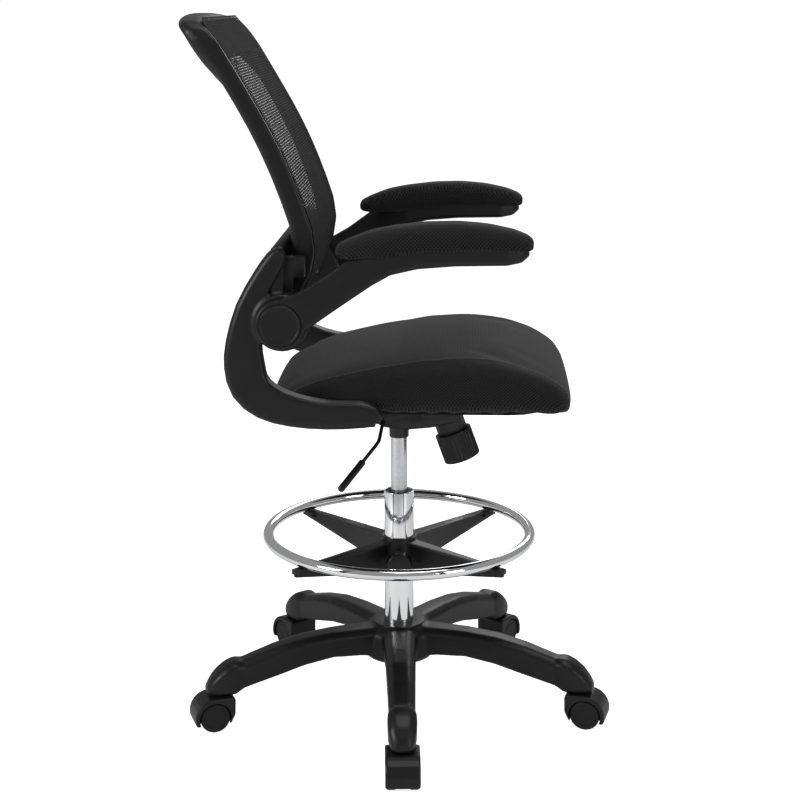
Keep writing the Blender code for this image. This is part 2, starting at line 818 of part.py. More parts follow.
def make_mechanism(lift):
    low = HOUSING_LOW
    wall = STEEL
    outline = (
        (48 * MM, 531 * MM),
        (48 * MM, low + 16 * MM),
        (22 * MM, low + 4 * MM),
        (-13 * MM, low),
        (-54 * MM, low + 4 * MM),
        (-104 * MM, low + 15 * MM),
        (-108 * MM, low + 21 * MM),
        (-104 * MM, 546 * MM),
        (-30 * MM, 546 * MM),
    )
    hollow = (
        (48 * MM - wall, 560 * MM),
        (48 * MM - wall, low + 16 * MM + wall),
        (22 * MM, low + 4 * MM + wall),
        (-13 * MM, low + wall),
        (-54 * MM, low + 4 * MM + wall),
        (-104 * MM + wall, low + 15 * MM + wall),
        (-104 * MM + wall, 560 * MM),
    )
    housing = piece("mechanism_housing", prism(outline, -HOUSING_HALF, HOUSING_HALF), "black_steel", lift)
    soften(housing, 3 * MM)
    cut(housing, prism(hollow, wall - HOUSING_HALF, HOUSING_HALF - wall))
    lean = knob_frame()
    cup = lathe(((0, GAP), (CUP_RADIUS, GAP), (CUP_RADIUS, CUP_LENGTH), (0, CUP_LENGTH)))
    weld(housing, moved(cup, lean))
    bore = CUP_RADIUS - CUP_WALL
    roof = CUP_LENGTH - CUP_WALL
    cut(housing, moved(lathe(((0, -MM), (bore, -MM), (bore, roof), (0, roof)), sides=20), lean))
    hole = STUD_RADIUS + GAP
    drill = lathe(((0, 0), (hole, 0), (hole, 2 * CUP_LENGTH), (0, 2 * CUP_LENGTH)), sides=12)
    cut(housing, moved(drill, lean))
    socket = CYLINDER_RADIUS + COLLAR_WALL + 2 * GAP
    cut(
        housing,
        lathe(((0, low - 10 * MM), (socket, low - 10 * MM), (socket, low + 20 * MM), (0, low + 20 * MM))),
    )
    across = HOUSING_HALF + 10 * MM
    cut(housing, cross_hole(TILT_Y, TILT_Z, TILT_PIN + GAP, across))
    cut(housing, cross_hole(LEVER_Y, LEVER_Z, LEVER_RADIUS + GAP, across))
    inside = CYLINDER_RADIUS + GAP
    outer = inside + COLLAR_WALL
    taper = CYLINDER_TAPER * (COLLAR_TOP - COLLAR_BOTTOM) / (CYLINDER_TOP - COLLAR_BOTTOM)
    collar = (
        (inside, COLLAR_BOTTOM),
        (outer - 2 * MM, COLLAR_BOTTOM),
        (outer - 2 * MM, low - 8 * MM),
        (outer, low - 4 * MM),
        (outer, COLLAR_TOP),
        (inside - taper, COLLAR_TOP),
    )
    piece("column_collar", lathe(collar, closed=True), "black_steel", lift)
    pin_half = HOUSING_HALF + 8 * MM
    head = TILT_PIN + 3 * MM
    ear = HOUSING_HALF + 6 * MM + GAP
    bolt = (
        (0, -pin_half - 2 * MM),
        (head, -pin_half - 2 * MM),
        (head, -ear),
        (TILT_PIN, -ear),
        (TILT_PIN, ear),
        (head, ear),
        (head, pin_half + 2 * MM),
        (0, pin_half + 2 * MM),
    )
    pin = moved(along_x(lathe(bolt, sides=12)), Matrix.Translation((0, TILT_Y, TILT_Z)))
    piece("tilt_pin", pin, "steel", lift)
    make_spring(lift, lean, bore, roof)


def make_spring(lift, lean, bore, roof):
    """The tension spring, a coil about the knob's stud from inside the knob to the cup."""
    radius = bore - 2 * GAP - SPRING_WIRE - 2 * MM
    low = SPRING_WIRE + 2 * GAP - 0.5 * KNOB_LENGTH
    high = roof - SPRING_WIRE - 2 * GAP
    steps = 12 * SPRING_TURNS
    path = [
        lean @ polar(radius, math.tau * k / 12, low + (high - low) * k / steps)
        for k in range(steps + 1)
    ]
    piece("tension_spring", sweep(path, SPRING_WIRE, 6), "steel", lift)


def make_tension_knob(turning):
    bore = CUP_RADIUS - CUP_WALL
    half = 0.5 * KNOB_LENGTH
    stud_top = CUP_LENGTH + 6 * MM
    profile = (
        (0, -KNOB_LENGTH),
        (KNOB_RADIUS - 3 * MM, -KNOB_LENGTH),
        (KNOB_RADIUS, 3 * MM - KNOB_LENGTH),
        (KNOB_RADIUS, -1 * MM),
        (KNOB_RADIUS - 1 * MM, 0),
        (bore, 0),
        (bore, -half),
        (STUD_RADIUS, -half),
        (STUD_RADIUS, stud_top),
        (0, stud_top),
    )
    piece("tension_knob", moved(lathe(profile, sides=28), knob_frame()), "nylon", turning)


def make_lever(body):
    bend = Vector((-LEVER_REACH, LEVER_Y, LEVER_Z))
    start = Vector((HOUSING_HALF + 4 * MM, LEVER_Y, LEVER_Z))
    tip = bend + LEVER_HAND
    turn = 12 * MM
    hand = LEVER_HAND.normalized()
    arc = []
    for k in range(6):
        t = k / 5
        before = bend + Vector((turn * (1 - t), 0, 0))
        after = bend + hand * turn * t
        arc.append(before.lerp(after, t))
    path = [start, *arc, tip - hand * 4 * MM]
    bar = piece("height_lever", sweep(path, LEVER_RADIUS, 8), "black_steel", body)
    reach = PIN_TOP + GAP
    outline = (
        (LEVER_Y - 2.8 * MM, LEVER_Z),
        (LEVER_Y + 2.8 * MM, LEVER_Z),
        (LEVER_Y + 2.8 * MM, reach + 5 * MM),
        (-5 * MM, reach + 5 * MM),
        (-5 * MM, reach),
        (LEVER_Y - 2.8 * MM, reach),
    )
    weld(bar, prism(outline, -2.5 * MM, 2.5 * MM))
    grip_start = bend + LEVER_HAND * (1 - GRIP_SHARE)
    length = (tip - grip_start).length
    bore = LEVER_RADIUS + GAP
    sleeve = (
        (bore, 0),
        (GRIP_RADIUS, 0),
        (GRIP_RADIUS, length - 3 * MM),
        (GRIP_RADIUS - 2 * MM, length),
        (0, length),
        (0, length - 3.7 * MM),
        (bore, length - 3.7 * MM),
        (bore, 0),
    )
    aim = Matrix.Translation(grip_start) @ hand.to_track_quat("Z", "Y").to_matrix().to_4x4()
    piece("lever_grip", moved(lathe(sleeve, sides=12), aim), "nylon", body)


# --- Seat --------------------------------------------------------------------


def make_seat_plate(seat):
    top = SEAT_BOTTOM - GAP - PAN_THICK - GAP
    low = top - STEEL
    plate = piece(
        "seat_plate",
        box((-PLATE_HALF, PLATE_FRONT, low), (PLATE_HALF, PLATE_REAR, top)),
        "black_steel",
        seat,
    )
    outline = (
        (TILT_Y - 38 * MM, low + 1 * MM),
        (TILT_Y + 38 * MM, low + 1 * MM),
        (TILT_Y + 14 * MM, TILT_Z - 11 * MM),
        (TILT_Y - 14 * MM, TILT_Z - 11 * MM),
    )
    near = HOUSING_HALF + 2.5 * MM
    ears = [prism(outline, side * near, side * (near + STEEL)) for side in (-1, 1)]
    weld(plate, joined(*ears))
    cut(plate, cross_hole(TILT_Y, TILT_Z, TILT_PIN + GAP, HOUSING_HALF + 20 * MM))


def seat_plan(inset, y_front, y_rear, half, corner, per_corner=4):
    """A rounded rectangle in plan."""
    points = []
    for x_sign, y_mid, start in (
        (1, y_rear - inset - corner, 0),
        (-1, y_rear - inset - corner, 90),
        (-1, y_front + inset + corner, 180),
        (1, y_front + inset + corner, 270),
    ):
        for k in range(per_corner + 1):
            turn = math.radians(start + 90 * k / per_corner)
            x = x_sign * (half - inset - corner) + corner * math.cos(turn)
            points.append((x, y_mid + corner * math.sin(turn)))
    return points


def make_seat(seat):
    top = SEAT_BOTTOM - GAP
    board = seat_plan(PAN_INSET, SEAT_FRONT, SEAT_REAR, SEAT_HALF, 60 * MM)
    piece("seat_pan", prism(board, top - PAN_THICK, top, "xy"), "board", seat)
    low = SEAT_BOTTOM
    depth = SEAT_REAR - SEAT_FRONT
    sections = []
    for share, edge, pull in SEAT_STATIONS:
        half = SEAT_HALF - pull
        tall = edge - low
        side = (
            (half - 12 * MM, 0),
            (half - 2 * MM, 0.10 * tall),
            (half, 0.35 * tall),
            (half - 2 * MM, 0.66 * tall),
            (half - 9 * MM, 0.86 * tall),
            (half - 24 * MM, 0.97 * tall),
            (0.66 * half, tall + 0.55 * SEAT_CROWN),
            (0.33 * half, tall + 0.9 * SEAT_CROWN),
        )
        right = [(-x, up) for x, up in side]
        outline = [*right, (0, tall + SEAT_CROWN), *reversed(side)]
        y = SEAT_FRONT + share * depth
        sections.append([Vector((x, y, low + up)) for x, up in outline])
    piece("seat_cushion", loft(sections), "seat_fabric", seat)


# --- Side arms and armrests --------------------------------------------------


def side_name(side):
    return "left" if side > 0 else "right"


def across(side):
    """Turns shapes made for the sitter's left into the right hand's."""
    return Matrix.Identity(4) if side > 0 else Matrix.Scale(-1, 4, (1, 0, 0))


def c_arm():
    """The C-shaped side arm for the left: a rounded bar swept along the C."""
    stations = [(y * MM, z * MM, depth * MM) for y, z, depth in ARM_STATIONS]
    rows = smooth_row(stations, 2)
    sections = []
    for i, (y, z, depth) in enumerate(rows):
        before = rows[max(i - 1, 0)]
        after = rows[min(i + 1, len(rows) - 1)]
        heading = Vector((0, after[0] - before[0], after[1] - before[1])).normalized()
        normal = Vector((0, heading.z, -heading.y))
        edge = min(ARM_EDGE, 0.3 * depth)
        middle = Vector((0, y, z))
        sections.append(
            [
                middle + Vector((ARM_INNER + x, 0, 0)) + normal * out
                for x, out in (
                    (2 * MM, 0.5 * depth),
                    (ARM_THICK - edge, 0.5 * depth),
                    (ARM_THICK - 0.3 * edge, 0.5 * depth - 0.4 * edge),
                    (ARM_THICK, 0.5 * depth - edge),
                    (ARM_THICK, 0.35 * edge - 0.5 * depth),
                    (ARM_THICK - 0.35 * edge, -0.5 * depth),
                    (2 * MM, -0.5 * depth),
                    (0, 2 * MM - 0.5 * depth),
                    (0, 0.5 * depth - 2 * MM),
                )
            ]
        )
    return loft(sections)


def make_side_arm(seat, side):
    flip = across(side)
    arm = piece(f"side_arm_{side_name(side)}", moved(c_arm(), flip), "nylon", seat)
    face = ARM_INNER + ARM_THICK + BOSS_RISE
    boss = lathe(
        (
            (0, ARM_INNER),
            (BOSS_RADIUS, ARM_INNER),
            (BOSS_RADIUS, face - 3 * MM),
            (BOSS_RADIUS - 3 * MM, face),
            (0, face),
        )
    )
    place = flip @ Matrix.Translation((0, HINGE_Y, HINGE_Z))
    weld(arm, moved(along_x(boss), place))
    top = SEAT_BOTTOM - GAP - PAN_THICK - GAP
    foot = box(
        (ARM_INNER - FOOT_REACH, FOOT_FRONT, top - FOOT_THICK),
        (ARM_INNER + 5 * MM, FOOT_REAR, top),
    )
    weld(arm, moved(foot, flip))
    hole = HINGE_RADIUS + GAP
    drill = lathe(
        ((0, ARM_INNER - 5 * MM), (hole, ARM_INNER - 5 * MM), (hole, face + 5 * MM), (0, face + 5 * MM)),
        sides=16,
    )
    cut(arm, moved(along_x(drill), place))
    outer = ARMREST_X + HUB_SHIFT + HUB_HALF
    pin = (
        (0, ARM_INNER - GAP - 4 * MM),
        (HINGE_HEAD, ARM_INNER - GAP - 4 * MM),
        (HINGE_HEAD, ARM_INNER - GAP),
        (HINGE_RADIUS, ARM_INNER - GAP),
        (HINGE_RADIUS, outer - CAP_SUNK - 1 * MM),
        (0, outer - CAP_SUNK - 1 * MM),
    )
    piece(f"hinge_pin_{side_name(side)}", moved(along_x(lathe(pin, sides=16)), place), "steel", seat)


def make_armrest(rest, side):
    name = side_name(side)
    flip = across(side)
    place = flip @ Matrix.Translation((0, HINGE_Y, HINGE_Z))
    sections = []
    for y, low, high, shift, half in BEAM_STATIONS:
        mid = ARMREST_X + shift * MM
        half *= MM
        low *= MM
        high *= MM
        edge = min(4 * MM, 0.3 * (high - low), 0.4 * half)
        outline = (
            (-half, high),
            (half, high),
            (half, low + 1.6 * edge),
            (half - 0.5 * edge, low + 0.5 * edge),
            (half - 1.6 * edge, low),
            (1.6 * edge - half, low),
            (0.5 * edge - half, low + 0.5 * edge),
            (-half, low + 1.6 * edge),
        )
        sections.append([Vector((mid + x, y * MM, z)) for x, z in outline])
    beam = piece(f"armrest_beam_{name}", moved(loft(sections), flip), "nylon", rest)
    inner = ARMREST_X + HUB_SHIFT - HUB_HALF
    outer = ARMREST_X + HUB_SHIFT + HUB_HALF
    hub = lathe(
        (
            (0, inner),
            (ARM_HUB_RADIUS - 1 * MM, inner),
            (ARM_HUB_RADIUS, inner + 2 * MM),
            (ARM_HUB_RADIUS, outer - 3 * MM),
            (ARM_HUB_RADIUS - 3 * MM, outer),
            (0, outer),
        )
    )
    weld(beam, moved(along_x(hub), place))
    hole = HINGE_RADIUS + GAP
    seat_radius = CAP_RADIUS + GAP
    floor = outer - CAP_SUNK
    drill = lathe(
        (
            (0, inner - 5 * MM),
            (hole, inner - 5 * MM),
            (hole, floor),
            (seat_radius, floor),
            (seat_radius, outer + 5 * MM),
            (0, outer + 5 * MM),
        )
    )
    cut(beam, moved(along_x(drill), place))
    cap = lathe(
        (
            (0, floor + GAP),
            (CAP_RADIUS, floor + GAP),
            (CAP_RADIUS, outer + 0.5 * MM),
            (CAP_RADIUS - 2 * MM, outer + 1.5 * MM),
            (0, outer + 2.5 * MM),
        )
    )
    piece(f"hinge_cap_{name}", moved(along_x(cap), place), "nylon", rest)
    make_pad(rest, side)


def make_pad(rest, side):
    """An armrest pad: flat underneath, crowned on top, rounded at both ends."""
    sections = []
    for y, low, high, half in PAD_STATIONS:
        half *= MM
        low *= MM
        tall = high * MM - low - GAP
        outline = (
            (0.80, 0),
            (0.95, 0.14),
            (1.0, 0.34),
            (0.95, 0.58),
            (0.80, 0.80),
            (0.50, 0.95),
        )
        right = [(-x, up) for x, up in outline]
        points = [*right, (0, 1), *reversed(outline)]
        sections.append(
            [Vector((ARMREST_X + x * half, y * MM, low + GAP + up * tall)) for x, up in points]
        )
    pad = moved(loft(sections), across(side))
    piece(f"armrest_pad_{side_name(side)}", pad, "mesh_fabric", rest)


# --- Back --------------------------------------------------------------------


def back_face(height):
    """How far behind the column the back's front face lies at a height."""
    rows = smooth_row([(z * MM, y * MM) for z, y in BACK_PROFILE], 4)
    for low, high in zip(rows, rows[1:]):
        if height <= high[0]:
            break
    share = (height - low[0]) / (high[0] - low[0])
    return low[1] + share * (high[1] - low[1])


def back_loop(half, low, high, low_corner, high_corner, crown):
    """A rounded rectangle of (x, z) points, the same number whatever its size."""
    sides = 9
    along = 9
    points = []

    def arc(x, z, radius, start):
        for k in range(4):
            turn = math.radians(start + 90 * k / 3)
            points.append((x + radius * math.cos(turn), z + radius * math.sin(turn)))

    arc(half - high_corner, high - high_corner, high_corner, 0)
    for k in range(1, along):
        x = (half - high_corner) * (1 - 2 * k / along)
        points.append((x, high + crown * (1 - (x / half) ** 2)))
    arc(high_corner - half, high - high_corner, high_corner, 90)
    tall = high - high_corner - low - low_corner
    for k in range(1, sides):
        points.append((-half, high - high_corner - tall * k / sides))
    arc(low_corner - half, low + low_corner, low_corner, 180)
    for k in range(1, 4):
        points.append(((half - low_corner) * (2 * k / 4 - 1), low))
    arc(half - low_corner, low + low_corner, low_corner, 270)
    for k in range(1, sides):
        points.append((half, low + low_corner + tall * k / sides))
    return points


def opening_loop():
    return back_loop(
        BACK_HALF - SIDE_BAR,
        BACK_BOTTOM + BOTTOM_RAIL,
        BACK_TOP - TOP_RAIL,
        28 * MM,
        18 * MM,
        0.4 * BACK_CROWN,
    )


def make_back(seat):
    outside = back_loop(BACK_HALF, BACK_BOTTOM, BACK_TOP, 50 * MM, 26 * MM, BACK_CROWN)
    sections = []
    for (x_out, z_out), (x_in, z_in) in zip(outside, opening_loop()):
        crest = max(0.0, min(1.0, (z_out - (BACK_TOP - 62 * MM)) / (40 * MM)))
        middle = 1 - 0.2 * (x_out / BACK_HALF) ** 2
        depth = BAR_DEPTH + crest * middle * (RAIL_DEPTH - BAR_DEPTH)
        section = []
        for inward, back in (
            (0.0, 0.12),
            (0.06, 0.0),
            (0.96, 0.0),
            (1.0, 0.08),
            (1.0, 0.80),
            (0.85, 0.97),
            (0.45, 1.0),
            (0.12, 0.88),
            (0.0, 0.70 - 0.15 * crest),
        ):
            x = x_out + inward * (x_in - x_out)
            z = z_out + inward * (z_in - z_out)
            section.append(Vector((x, back_face(z) + back * depth, z)))
        sections.append(section)
    piece("back_frame", loft(sections, ring=True), "nylon", seat)
    make_mesh_panel(seat)
    half = ARM_INNER - GAP
    rear = YOKE_FRONT + YOKE_DEPTH
    top = YOKE_LOW + YOKE_HEIGHT
    outline = (
        (YOKE_FRONT, YOKE_LOW),
        (rear - 3 * MM, YOKE_LOW - 2 * MM),
        (rear, YOKE_LOW + 6 * MM),
        (rear - 7 * MM, top - 4 * MM),
        (rear - 13 * MM, top),
        (YOKE_FRONT, top),
    )
    yoke = piece("back_yoke", prism(outline, -half, half), "nylon", seat)
    soften(yoke, 3 * MM)


def make_mesh_panel(seat):
    """The mesh, a thin sheet that follows the back's face inside the frame."""
    opening = opening_loop()
    rows = []
    for x, z in opening:
        if x > 0:
            rows.append((z, x))
    rows.sort()
    sections = []
    low = rows[0][0] + GAP
    high = rows[-1][0] - GAP
    for z, x in rows:
        z = min(max(z, low), high)
        if sections and z - sections[-1][0].z < 2 * MM:
            continue
        front = back_face(z) + MESH_SUNK
        half = x - 2 * GAP
        sections.append(
            [
                Vector((-half, front, z)),
                Vector((half, front, z)),
                Vector((half, front + MESH_THICK, z)),
                Vector((-half, front + MESH_THICK, z)),
            ]
        )
    piece("back_mesh", loft(sections), "mesh_fabric", seat)


def make_bracket(seat, side):
    """Holds the back to the side arm: a strap down the arm and a block to the frame."""
    flip = across(side)
    outer = ARM_INNER - GAP
    back = YOKE_FRONT - GAP
    strap = (
        (HINGE_Y - 10 * MM, STRAP_FOOT),
        (HINGE_Y + 5 * MM, STRAP_FOOT),
        (back, BRACKET_LOW + 2 * MM),
        (back, BRACKET_HIGH - 6 * MM),
        (HINGE_Y - 18 * MM, BRACKET_HIGH - 6 * MM),
    )
    block = (
        (BRACKET_FRONT, BRACKET_LOW),
        (back, BRACKET_LOW),
        (back, BRACKET_HIGH),
        (BRACKET_FRONT, BRACKET_HIGH),
    )
    mesh = moved(prism(strap, outer - STRAP_THICK, outer), flip)
    bracket = piece(f"back_bracket_{side_name(side)}", mesh, "black_steel", seat)
    weld(bracket, moved(prism(block, BACK_HALF + GAP, outer - 1 * MM), flip))


# --- The whole chair ---------------------------------------------------------


def stand_on_origin(root):
    """Moves the chair so that the middle of its overall box stands on the origin."""
    bpy.context.view_layer.update()
    graph = bpy.context.evaluated_depsgraph_get()
    low = Vector((math.inf,) * 3)
    high = Vector((-math.inf,) * 3)
    for obj in bpy.context.scene.objects:
        if obj.type != "MESH" or obj.hide_render:
            continue
        shown = obj.evaluated_get(graph)
        for vert in shown.data.vertices:
            spot = shown.matrix_world @ vert.co
            low = Vector(map(min, low, spot))
            high = Vector(map(max, high, spot))
    root.location = -Vector(((low.x + high.x) / 2, (low.y + high.y) / 2, low.z))
    bpy.context.view_layer.update()


def main():
    clear_scene()
    base = joint("chair")
    make_base(base)
    make_casters(base)
    rod = joint("column_swivel", base)
    lift = joint("gas_lift", rod)
    pin = joint("pin_travel", lift, (0, 0, PIN_TOP))
    make_column(base, rod, lift, pin)
    ring = joint("ring_height", base)
    knob_height = RING_HEIGHT - RING_TUBE - GAP - RING_KNOB_DROP
    ring_knob = joint("ring_knob_turn", ring, (0, 0, knob_height))
    make_foot_ring(ring, ring_knob)
    make_mechanism(lift)
    make_tension_knob(joint("tension_turn", lift, (0, KNOB_Y, KNOB_Z)))
    make_lever(joint("lever_hinge", lift, (0, LEVER_Y, LEVER_Z)))
    seat = joint("seat_tilt", lift, (0, TILT_Y, TILT_Z))
    make_seat_plate(seat)
    make_seat(seat)
    make_back(seat)
    for side in (1, -1):
        make_side_arm(seat, side)
        make_bracket(seat, side)
        hinge = joint(f"armrest_{side_name(side)}_hinge", seat, (0, HINGE_Y, HINGE_Z))
        make_armrest(hinge, side)
    stand_on_origin(base)


main()
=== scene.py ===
"""Drafting chair: the finished look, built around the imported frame."""

import json
import math

import bpy
from mathutils import Matrix, Vector
from mathutils.bvhtree import BVHTree


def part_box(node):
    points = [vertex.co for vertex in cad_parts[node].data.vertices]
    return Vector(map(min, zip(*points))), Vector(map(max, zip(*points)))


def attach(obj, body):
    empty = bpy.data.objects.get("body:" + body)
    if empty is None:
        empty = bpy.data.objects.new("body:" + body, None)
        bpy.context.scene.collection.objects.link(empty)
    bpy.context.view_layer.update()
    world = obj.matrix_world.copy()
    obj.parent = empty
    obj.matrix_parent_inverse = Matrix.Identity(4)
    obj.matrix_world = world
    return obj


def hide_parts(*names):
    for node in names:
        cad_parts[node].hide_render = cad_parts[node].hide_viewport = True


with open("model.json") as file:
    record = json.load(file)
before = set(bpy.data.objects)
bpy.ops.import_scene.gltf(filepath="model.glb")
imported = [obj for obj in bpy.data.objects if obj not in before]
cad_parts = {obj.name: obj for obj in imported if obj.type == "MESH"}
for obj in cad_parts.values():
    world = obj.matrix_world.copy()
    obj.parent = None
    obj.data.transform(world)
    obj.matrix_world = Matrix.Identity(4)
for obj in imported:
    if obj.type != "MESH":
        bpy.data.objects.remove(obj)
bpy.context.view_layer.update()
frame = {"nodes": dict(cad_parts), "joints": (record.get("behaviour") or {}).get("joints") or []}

bl_info = {
    "name": "Drafting chair",
    "version": (1, 0, 0),
    "blender": (4, 5, 0),
    "location": "View3D > Sidebar > Chair",
    "description": "Dresses the packed frame of a drafting chair",
    "category": "Add Mesh",
}

MM = 0.001
PANEL = "panel"  # how far each point of the seat's skin is from its side, 0 to 1
SEAM = 0.5  # where the top panel is sewn to the side panel, on that scale
TUBE_LOW, TUBE_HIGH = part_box("column_tube")
COLUMN = Vector(((TUBE_LOW.x + TUBE_HIGH.x) / 2, (TUBE_LOW.y + TUBE_HIGH.y) / 2, 0))
FLOOR = min(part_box(f"caster_{n}_wheel_left")[0].z for n in range(1, 6))
MERGE = 0.01 * MM  # points of a CAD mesh that are nearer than this are one point
BUSH_BORE = 14.35 * MM  # radius of the hole that the gas cylinder goes through
MIX_FIRST, MIX_SECOND, MIX_RESULT = 6, 7, 2  # the colour sockets of a Mix node

FLOOR_SIZE = 400
FLOOR_GAP = 0.2 * MM  # the floor lies this far below the wheels
CAMERA_LENS = 74.5  # mm, on a sensor 36 mm wide
CAMERA_SENSOR = 36
CAMERA_SHIFT = -0.00225
CAMERA_PLACE = (-2.6891, -0.1146, 1.1907)  # from the foot of the column
CAMERA_PITCH, CAMERA_HEADING = -0.236, 0.042  # radians
WORLD_ON_CHAIR, WORLD_SEEN = 0.30, 1.0  # the backdrop's brightness, lit by it and looked at
FLOOR_GLOW = 0.84  # seen by the camera only
LAMPS = (  # name, place and aim from the column's foot, width, watts
    ("overhead_softbox", (-0.5, -0.3, 3.0), (0, 0, 0.5), 1.6, 27),
    ("rear_strip", (-1.6, 2.4, 1.5), (0, 0.1, 0.7), 0.9, 38),
    ("front_fill", (-2.4, -2.3, 1.2), (0, 0, 0.5), 1.3, 24),
    ("far_fill", (2.6, -0.6, 2.0), (0, 0, 0.7), 1.4, 18),
)
DARK_CARDS = (("dark_card_left", 42), ("dark_card_right", -36))  # degrees from the view
CARD_WIDTH, CARD_HEIGHT, CARD_DISTANCE = 0.24, 2.2, 2.2

NET_COLUMNS, NET_ROWS = 56, 64
NET_SIDE = 11 * MM  # from the frame's outline in to the net's edge
NET_BOTTOM, NET_TOP = 16 * MM, 5 * MM
NET_CORNER = 24 * MM
NET_THICK = 0.5 * MM
NET_AHEAD = 0.9 * MM  # how far the net stands off the frame
NET_BRIDGES = 6  # passes in which the taut net bridges small steps

CLOTH_PRESSURE = 4
CLOTH_STEPS = 20
CLOTH_STIFFNESS, CLOTH_BENDING = 12, 0.6

NOSE_START = 0.72  # share of the seat's half depth at which its front edge begins
NOSE_HEIGHT = 62 * MM
NOSE_AHEAD, NOSE_DROP = 6 * MM, 10 * MM
TUCK_HEIGHT, TUCK_DEPTH = 26 * MM, 15 * MM
HEM_HEIGHT = 13 * MM
SEAM_WIDTH, SEAM_RIDGE = 3 * MM, 0.9 * MM


# --- Settings ----------------------------------------------------------------


def colour_of(text):
    """An sRGB hex value as a linear colour."""
    parts = [int(text[i : i + 2], 16) / 255 for i in (1, 3, 5)]
    return tuple(c / 12.92 if c <= 0.04045 else ((c + 0.055) / 1.055) ** 2.4 for c in parts)


def colour_prop(name, text, description):
    return bpy.props.FloatVectorProperty(
        name=name, description=description, subtype="COLOR", size=3, min=0, max=1,
        default=colour_of(text),
    )


def length_prop(name, value, description):
    return bpy.props.FloatProperty(
        name=name, description=description, default=value, min=0, unit="LENGTH"
    )


class ChairFinish(bpy.types.PropertyGroup):
    nylon: colour_prop("Nylon", "#141415", "Colour of the moulded base, arms and frame")
    wheel: colour_prop("Wheel", "#111112", "Colour of the caster wheels")
    chrome: colour_prop("Chrome", "#f0f1f3", "Colour of the plated tubes")
    steel: colour_prop("Steel", "#d6d7d9", "Colour of the bare turned steel")
    coat: colour_prop("Powder coat", "#0f0f10", "Colour of the coated steel")
    liner: colour_prop("Liner", "#121213", "Colour of the cloth under the seat")
    thread: colour_prop("Thread", "#222223", "Colour of the cloth's raised threads")
    gap: colour_prop("Between threads", "#020202", "Colour down between the threads")
    floor: colour_prop("Floor", "#f7f7f7", "Colour of the studio floor")


class ChairSizes(bpy.types.PropertyGroup):
    weave: length_prop("Weave", 5.6 * MM, "Distance between the holes of the spacer cloth")
    rib: length_prop("Rib", 4.6 * MM, "Distance between the ribs of the seat's top")
    net: length_prop("Net", 4.2 * MM, "Distance between the holes of the back's net")
    seat_voxel: length_prop("Seat voxel", 6 * MM, "Mesh size of the seat before it is filled")
    pad_voxel: length_prop("Pad voxel", 4 * MM, "Mesh size of a pad before it is filled")
    seat_swell: length_prop("Seat swell", 4.5 * MM, "How far the seat's cloth may swell")
    pad_swell: length_prop("Pad swell", 3 * MM, "How far a pad's cloth may swell")
    seam_inset: length_prop("Seam inset", 52 * MM, "From the seat's side to its top seam")
    pad_sink: length_prop("Pad sink", 4.5 * MM, "How deep a pad's underside sits in its bar")
    knob_rib: length_prop("Knob rib", 1.3 * MM, "Depth of the flutes around the knobs")


def finish_settings():
    return bpy.context.scene.chair_finish


def size_settings():
    return bpy.context.scene.chair_sizes


# --- Materials ---------------------------------------------------------------

MADE = {}  # materials by name, so that each is made once


def add(tree, kind, inputs=None, **settings):
    """Adds a node with its settings, and its inputs as values or links."""
    made = tree.nodes.new(kind)
    for key, value in settings.items():
        setattr(made, key, value)
    for key, value in (inputs or {}).items():
        if isinstance(value, bpy.types.NodeSocket):
            tree.links.new(value, made.inputs[key])
        else:
            made.inputs[key].default_value = value
    return made


def start_material(name):
    """A new material: its tree, its shader and its Object coordinates."""
    made = bpy.data.materials.new(name)
    made.use_nodes = True
    tree = made.node_tree
    spot = add(tree, "ShaderNodeTexCoord").outputs["Object"]
    MADE[name] = made
    return made, tree, tree.nodes["Principled BSDF"], spot


def speckle(tree, spot, size, detail=2.0):
    """Noise whose grains are about size metres across."""
    scale = 1 / size
    return add(
        tree, "ShaderNodeTexNoise", {"Vector": spot, "Scale": scale, "Detail": detail}
    ).outputs["Fac"]


def between(tree, fac, low, high):
    """A number that goes from low to high as fac goes from 0 to 1."""
    return add(
        tree, "ShaderNodeMapRange", {"Value": fac, "To Min": low, "To Max": high}
    ).outputs["Result"]


def blend_colours(tree, fac, first, second):
    mix = add(tree, "ShaderNodeMix", {"Factor": fac}, data_type="RGBA")
    for key, value in ((MIX_FIRST, first), (MIX_SECOND, second)):
        if isinstance(value, bpy.types.NodeSocket):
            tree.links.new(value, mix.inputs[key])
        else:
            mix.inputs[key].default_value = (*value, 1)
    return mix.outputs[MIX_RESULT]


def math_node(tree, operation, *values):
    return add(tree, "ShaderNodeMath", dict(enumerate(values)), operation=operation).outputs[0]


def scaled(colour, factor):
    return tuple(min(1.0, c * factor) for c in colour)


def link_in(tree, shader, **sockets):
    """Feeds the shader's inputs, whose names are given with _ for a space."""
    for key, socket in sockets.items():
        tree.links.new(socket, shader.inputs[key.replace("_", " ")])


def emboss(tree, shader, height, distance, strength):
    """Makes the surface rise and fall with height."""
    values = {"Height": height, "Distance": distance, "Strength": strength}
    link_in(tree, shader, Normal=add(tree, "ShaderNodeBump", values).outputs[0])


def ramp(tree, value, start, end, low, high, **settings):
    """Goes from low to high as value goes from start to end."""
    values = {"Value": value, "From Min": start, "From Max": end}
    values |= {"To Min": low, "To Max": high}
    return add(tree, "ShaderNodeMapRange", values, **settings).outputs["Result"]


